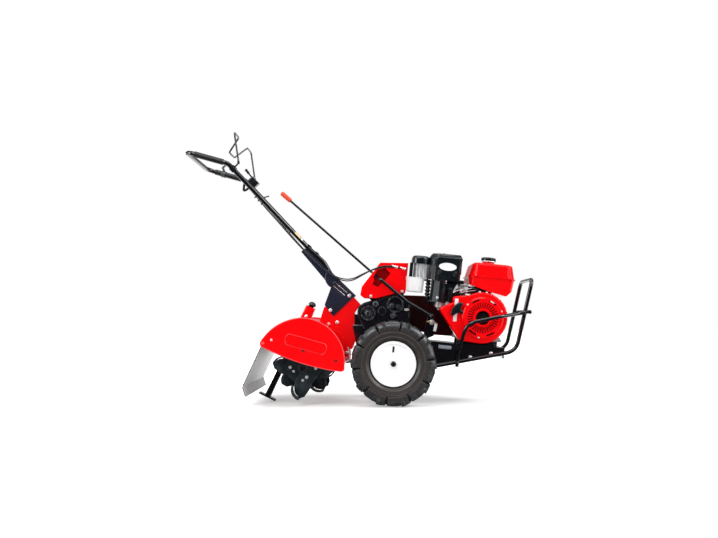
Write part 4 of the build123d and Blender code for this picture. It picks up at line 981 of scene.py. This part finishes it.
alloy = Finish("cast_alloy", metallic=0.5)
alloy_stain = alloy.noise(40, 4).step(0.35, 0.8)
alloy.set("Base Color", alloy_stain.blend((0.58, 0.58, 0.58), (0.26, 0.25, 0.25)))
alloy.set("Roughness", alloy.noise(120, 3) * 0.25 + 0.38)
alloy.relief(alloy.noise(380, 3), 0.3, 0.0006)
dress(alloy.material, "crankcase")
dress(bare_metal("dark_casting", (0.085, 0.088, 0.092), 0.4), "cylinder", "head_cover")
dress(tube_black, "tank_stay")
BORE_OUT, BORE_UP = side_way(155), side_way(65)


def on_bore(out, y, up):
    """A place from the crankshaft along the slanting cylinder, across it and above it."""
    flat = BORE_OUT * out + BORE_UP * up
    return on_engine(flat.x, y, flat.z)


bore_way = (on_bore(2, 0, 0) - on_bore(1, 0, 0)).normalized()
engine_bolts = bmesh.new()
for y in (-48, 48):
    for up in (-50, 50):
        hex_bolt(engine_bolts, on_bore(218.2, y, up), bore_way, 10)
hex_bolt(engine_bolts, on_bore(244, 0, 0), bore_way, 12)
for x in (-109, 109):
    for y in (-72, 72):
        hex_bolt(engine_bolts, on_engine(x, y, -100), ENGINE_UP, 12)
hex_bolt(engine_bolts, on_engine(104, 12, -88), ENGINE_FRONT, 14)
for y, z in ((-70, 20), (70, 20), (-70, -60), (76, -40)):
    hex_bolt(engine_bolts, on_engine(104, y, z), ENGINE_FRONT, 8)
piece("engine_bolts", engine_bolts, zinc)


def ribs_round(bm, count, centre, axis, first, second, reach, size, corner):
    """Small ribs along an axis, spaced evenly round it from the first way to the second."""
    for number in range(count):
        turn = 2 * pi * number / count
        out = first * cos(turn) + second * sin(turn)
        slab(bm, centre + out * (reach / 1000), size, axis, out, corner)


OIL_CAP = ((0, 0), (19, 0), (19, 4), (15, 6), (15, 16), (13, 18), (0, 18))
oil_cap = bmesh.new()
turned(oil_cap, on_engine(104, 54, -82), ENGINE_FRONT, *OIL_CAP)
ribs_round(oil_cap, 10, on_engine(115, 54, -82), ENGINE_FRONT, LEFT, ENGINE_UP, 15.5, (10, 3, 3), 0.8)
piece("oil_cap", oil_cap, moulded_black)
SPARK_CAP = ((0, 0), (9, 0), (9, 5), (7, 6), (7, 18), (10, 20), (10, 40), (7, 44), (0, 44))
plug_at = on_bore(205, 58.8, 18)
spark_cap = bmesh.new()
turned(spark_cap, plug_at, LEFT, *SPARK_CAP, steps=24)
elbow = plug_at + LEFT * 0.032
bent_wire(spark_cap, 13, elbow, elbow + Vector((0.022, 0, 0.004)), elbow + Vector((0.034, -0.002, 0)))
piece("spark_cap", spark_cap, moulded_black)


# Recoil starter: a pressed red blower housing with a slotted round cover over a drum in
# near-black painted shade, three bolts and a black rubber grip over a bare bright strip.
dress(panel_red, "blower_housing", "recoil_cover")
GRIP = (
    *((-104, 66), (-124, 62), (-142, 48), (-153, 26), (-156, 2), (-151, -5), (-140, -2)),
    *((-128, 10), (-118, 14), (-92, 4), (-86, 10), (-88, 18), (-106, 26), (-110, 38), (-102, 54)),
)
grip = bmesh.new()
grip_made = extruded(grip, [on_engine(x, -165, z) for x, z in GRIP], RIGHT * 0.022)
soften(grip, rim_of(grip_made), 4.5)
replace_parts(piece("rubber_grip", grip, moulded_black), "starter_grip")
blower_bolts = bmesh.new()
bolt_circle(blower_bolts, on_engine(0, -185, 0), RIGHT, 96, 8, (24 - TIP, 144 - TIP, 264 - TIP))
for x in (-20, 14, 46):
    hex_bolt(blower_bolts, on_engine(x, -142, (125.4**2 - x * x) ** 0.5), ENGINE_UP, 9)
piece("blower_bolts", blower_bolts, zinc)
strip = bmesh.new()
slab(strip, on_engine(-132, -164.6, 26), (112, 17, 1.2), ENGINE_UP, RIGHT, 0.4, 2)
piece("bright_strip", strip, cup_white)
vents = bmesh.new()
for turn in (8, 18, 28, 38, 48):
    out = side_way(turn - TIP)
    slab(vents, on_engine(0, -131, 0) + out * 0.1265, (44, 5, 4), LEFT, out, 1.5)
piece("blower_ribs", vents, panel_red)
DRUM = (
    *((0, 12), (10, 12), (12, 9), (30, 8), (31, 2)),
    *((37, 2), (37, 8.6), (88, 8.6), (88, 7), (0, 0)),
)
# The drum behind the cover's vents is in the near-black of painted shade, so that the vents read dark.
drum = bmesh.new()
turned(drum, on_engine(0, -170, 0), RIGHT, *DRUM, steps=48)
piece("starter_drum", drum, slot_black)


# Fuel tank: two pressed red halves joined at a seam above the engine, with a moulded black
# cap that is ribbed all round and screwed on a bright collar.
dress(panel_red, "tank_lower", "tank_upper")
dress(moulded_black, "tank_cap")
FILLER_X = 27
COLLAR = ((33, 0), (36.6, 0), (36.6, 5), (33, 5), (33, 0))
collar = bmesh.new()
ring(collar, on_engine(FILLER_X, 0, 276), ENGINE_UP, 31.5, 3.0)
ring(collar, on_engine(FILLER_X, 0, 290), ENGINE_UP, 35.2, 1.6)
turned(collar, on_engine(FILLER_X, 0, 288), ENGINE_UP, *COLLAR, steps=64)
piece("tank_collar", collar, zinc)
cap_ribs = bmesh.new()
ribs_round(cap_ribs, 18, on_engine(FILLER_X, 0, 301), ENGINE_UP, ENGINE_FRONT, LEFT, 35.5, (16, 5, 4), 1.4)
turned(cap_ribs, on_engine(FILLER_X, 0, 310.6), ENGINE_UP, (0, 2.2), (14, 2.0), (18, 0.4), (0, 0.2))
piece("tank_cap_ribs", cap_ribs, moulded_black)


# Air cleaner: a moulded black box with a wing nut, a blank oval plate and a rib down its
# corner, and a cyclone behind it with a clear body over a ribbed white dust cup.
dress(moulded_black, "air_cleaner", "precleaner_cap")
LID = ((-279.5, -19), (-119, -19), (-119, -151), (-241, -151), (-279.5, -113))
lid = bmesh.new()
lid_top = extruded(lid, [on_engine(x, y, 270) for x, y in LID], ENGINE_UP * 0.007)
bmesh.ops.recalc_face_normals(lid, faces=lid.faces[:])
lid_crown = only(bmesh.types.BMFace, lid_top)
bmesh.ops.inset_individual(lid, faces=lid_crown, thickness=0.016, depth=0.020)
soften(lid, [edge for edge in lid.edges if edge.calc_face_angle() > 0.3], 2.8)
piece("air_lid_crown", lid, moulded_black)
nut_at = on_engine(-199, -85, 297)
wing = bmesh.new()
turned(wing, nut_at, ENGINE_UP, (0, 14), (3, 14), (3, 11), (7, 9), (8, 0), (0, 0), steps=24)
wing_face = ENGINE_FRONT * -0.6 + LEFT * 0.8
for way in (-1, 1):
    out = (ENGINE_FRONT * 0.8 + LEFT * 0.6) * way
    spot = nut_at + out * 0.012 + ENGINE_UP * 0.0115
    slab(wing, spot, (16, 11, 3), out + ENGINE_UP * 0.7, wing_face, 1.2, 4)
piece("wing_nut", wing, zinc)
oval_turn = standing(on_engine(-190, -150.3, 233), RIGHT) @ Matrix.Rotation(radians(-TIP), 4, "Z")
oval_shape = oval_turn @ Matrix.Diagonal((0.044, 0.0195, 0.001, 1))
oval = bmesh.new()
oval_plate(oval, oval_shape, 64, 0.96, 1.6, 0.002, -0.0004)
piece("blank_oval", oval, cup_white)
gloss_black = moulded("gloss_black", (0.010, 0.013, 0.014), 0.05, 300, coat=0.6)
case_ribs = bmesh.new()
bent_wire(case_ribs, 27, on_engine(-242, -137, 272), on_engine(-242, -137, 160))
bent_wire(case_ribs, 24, on_engine(-247, -113, 164), on_engine(-250, -112, 110), on_engine(-254, -110, 62))
for x in (-228, -150):
    slab(case_ribs, on_engine(x, -149.6, 200), (26, 14, 5), ENGINE_UP, RIGHT, 1.6, 3)
bent_wire(case_ribs, 5, on_engine(-238, -149, 277), on_engine(-134, -149, 277))
piece("air_case_ribs", case_ribs, gloss_black)

clear = Finish("clear_smoke", transmission_weight=0.45, ior=1.42, specular_ior_level=0.4)
streak = clear.noise(150, 4, (1, 1, 0.06))
clear.set("Base Color", streak.step(0.35, 0.7).blend((0.34, 0.36, 0.37), (0.72, 0.74, 0.75)))
clear.set("Roughness", streak * 0.2 + 0.16)
clear.relief(streak, 0.2, 0.0008)
dress(clear.material, "precleaner_body")
CYCLONE = (-341, -85)
DUST_CUP = ((0, 97), (38, 97), (41, 99), (44.5, 150), (46.5, 160), (46.5, 169), (0, 169))
cup = bmesh.new()
turned(cup, on_engine(*CYCLONE, 0), ENGINE_UP, *DUST_CUP, steps=64)
ribs_round(cup, 16, on_engine(*CYCLONE, 126), ENGINE_UP, ENGINE_FRONT, LEFT, 42.5, (52, 3.4, 4), 1.0)
ring(cup, on_engine(*CYCLONE, 166), ENGINE_UP, 46.4, 1.8)
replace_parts(piece("ribbed_dust_cup", cup, cup_white), "dust_cup")


# Carburettor: a small alloy body with bowls, levers, links and governor springs, beside a
# black shroud over the cylinder. Rubber bellows lead from it and from the breather to the
# air box.
dress(alloy.material, "carburettor")
bowls = bmesh.new()
for x, y, low, wide in ((-214, -112, 24, 17), (-170, -116, 28, 13)):
    spot = on_engine(x, y, low)
    bowl = ((0, 0), (4, 0), (5, 3), (wide - 4, 5), (wide, 9), (wide, 34), (wide - 3, 36), (0, 36))
    turned(bowls, spot, ENGINE_UP, *bowl)
    hex_bolt(bowls, spot, -ENGINE_UP, 7)
slab(bowls, on_engine(-190, -96, 44), (84, 22, 26), ENGINE_FRONT, RIGHT, 3, 6)
slab(bowls, on_engine(-112, -126, 145), (58, 10, 2.5), (0.94, 0, 0.34), RIGHT, 0.8, 3)
slab(bowls, on_engine(-140, -127, 132), (44, 9, 2.5), (0.5, 0, 0.87), RIGHT, 0.8, 4)
turned(bowls, on_engine(-92, -124, 133), RIGHT, (0, 0), (11, 0), (11, 8), (8, 10), (0, 10))
piece("carburettor_bowls", bowls, alloy.material)
shroud = bmesh.new()
slab(shroud, on_engine(-62, -78, 132), (200, 36, 84), (0.985, 0, -0.17), RIGHT, 5, 8)
slab(shroud, on_engine(-140, -84, 163), (84, 26, 50), ENGINE_FRONT, RIGHT, 4, 4)
for x in (-130, -86, -42, 2):
    slab(shroud, on_engine(x, -121, 132 - 0.02 * x), (6, 26, 4), ENGINE_FRONT, RIGHT, 1)
piece("cylinder_shroud", shroud, moulded_black)
links = bmesh.new()
for x, z in ((-96, 148), (-134, 138), (-112, 124)):
    hex_bolt(links, on_engine(x, -128, z), RIGHT, 6)
hex_bolt(links, on_engine(-227, -148, 78), RIGHT, 10)
bent_wire(links, 3, on_engine(-150, -130, 110), on_engine(-132, -132, 128), on_engine(-60, -130, 140))
bent_wire(links, 2.4, on_engine(-116, -132, 112), on_engine(-84, -134, 124), on_engine(-40, -132, 132))
piece("carburettor_links", links, zinc)


def coil(bm, start, end, radius, wire, turns):
    """Coil spring between two places."""
    way = (end - start).normalized()
    side = way.orthogonal().normalized()
    begin = standing(start + side * (radius / 1000), way.cross(side))
    steps = 14 * turns
    sweep = dict(cent=start, axis=way, dvec=(end - start) / steps, angle=2 * pi * turns, steps=steps)
    swept_bead(bm, begin, wire / 2, 6, **sweep)


springs = bmesh.new()
coil(springs, on_engine(-128, -134, 146), on_engine(-88, -134, 150), 4.2, 1.6, 9)
coil(springs, on_engine(-66, -132, 142), on_engine(-30, -132, 138), 4.0, 1.5, 8)
piece("governor_springs", springs, dark_steel)
folds = [(0, 66), (9, 66)]
for number in range(5):
    folds += [(9, 68 + 17 * number), (14.5, 76 + 17 * number), (9, 84 + 17 * number)]
folds += [(11, 152), (11, 164), (0, 164)]
bellows = bmesh.new()
turned(bellows, on_engine(-274, -86, 0), ENGINE_UP, *folds)
BREATHER = ((-274, -86, 72), (-274, -86, 52), (-262, -60, 50), (-240, -40, 60))
bent_wire(bellows, 17, *(on_engine(*place) for place in BREATHER))
folds = [(0, 62), (9, 62)]
for number in range(6):
    folds += [(10, 63 + 11 * number), (14, 67 + 11 * number), (14, 70 + 11 * number), (10, 73 + 11 * number)]
folds += [(9, 132), (0, 132)]
turned(bellows, on_engine(-166, -122, 0), ENGINE_UP, *folds)
piece("bellows", bellows, moulded_black)


# Muffler: a rolled steel can in heat-stained paint behind the air cleaner, with a pressed
# shield with louvres on its left and a short outlet.
heat_black = Finish("heat_black", specular_ior_level=0.35)
heat_rust = heat_black.noise(22, 5).step(0.55, 0.85)
heat_black.set("Base Color", heat_rust.blend((0.018, 0.017, 0.017), (0.085, 0.042, 0.022)))
heat_black.set("Roughness", heat_black.noise(90, 3) * 0.3 + 0.5)
heat_black.relief(heat_black.noise(260, 3), 0.3, 0.0006)
dress(heat_black.material, "muffler")
shield_steel = bmesh.new()
slab(shield_steel, on_engine(-222, 96.5, 212), (112, 78, 3), ENGINE_FRONT, LEFT, 1.2, 12)
for number in range(5):
    slab(shield_steel, on_engine(-222, 99, 188 + 12 * number), (84, 5, 4), ENGINE_FRONT, LEFT, 1.6)
for x in (-270, -174):
    hex_bolt(shield_steel, on_engine(x, 98, 242), LEFT, 8)
OUTLET = ((9, 0), (13, 0), (13, 14), (14.5, 15), (14.5, 18), (11, 18), (11, 2), (9, 0))
turned(shield_steel, on_engine(-262, 60, 256), ENGINE_UP, *OUTLET, steps=28)
piece("muffler_shield", shield_steel, zinc)
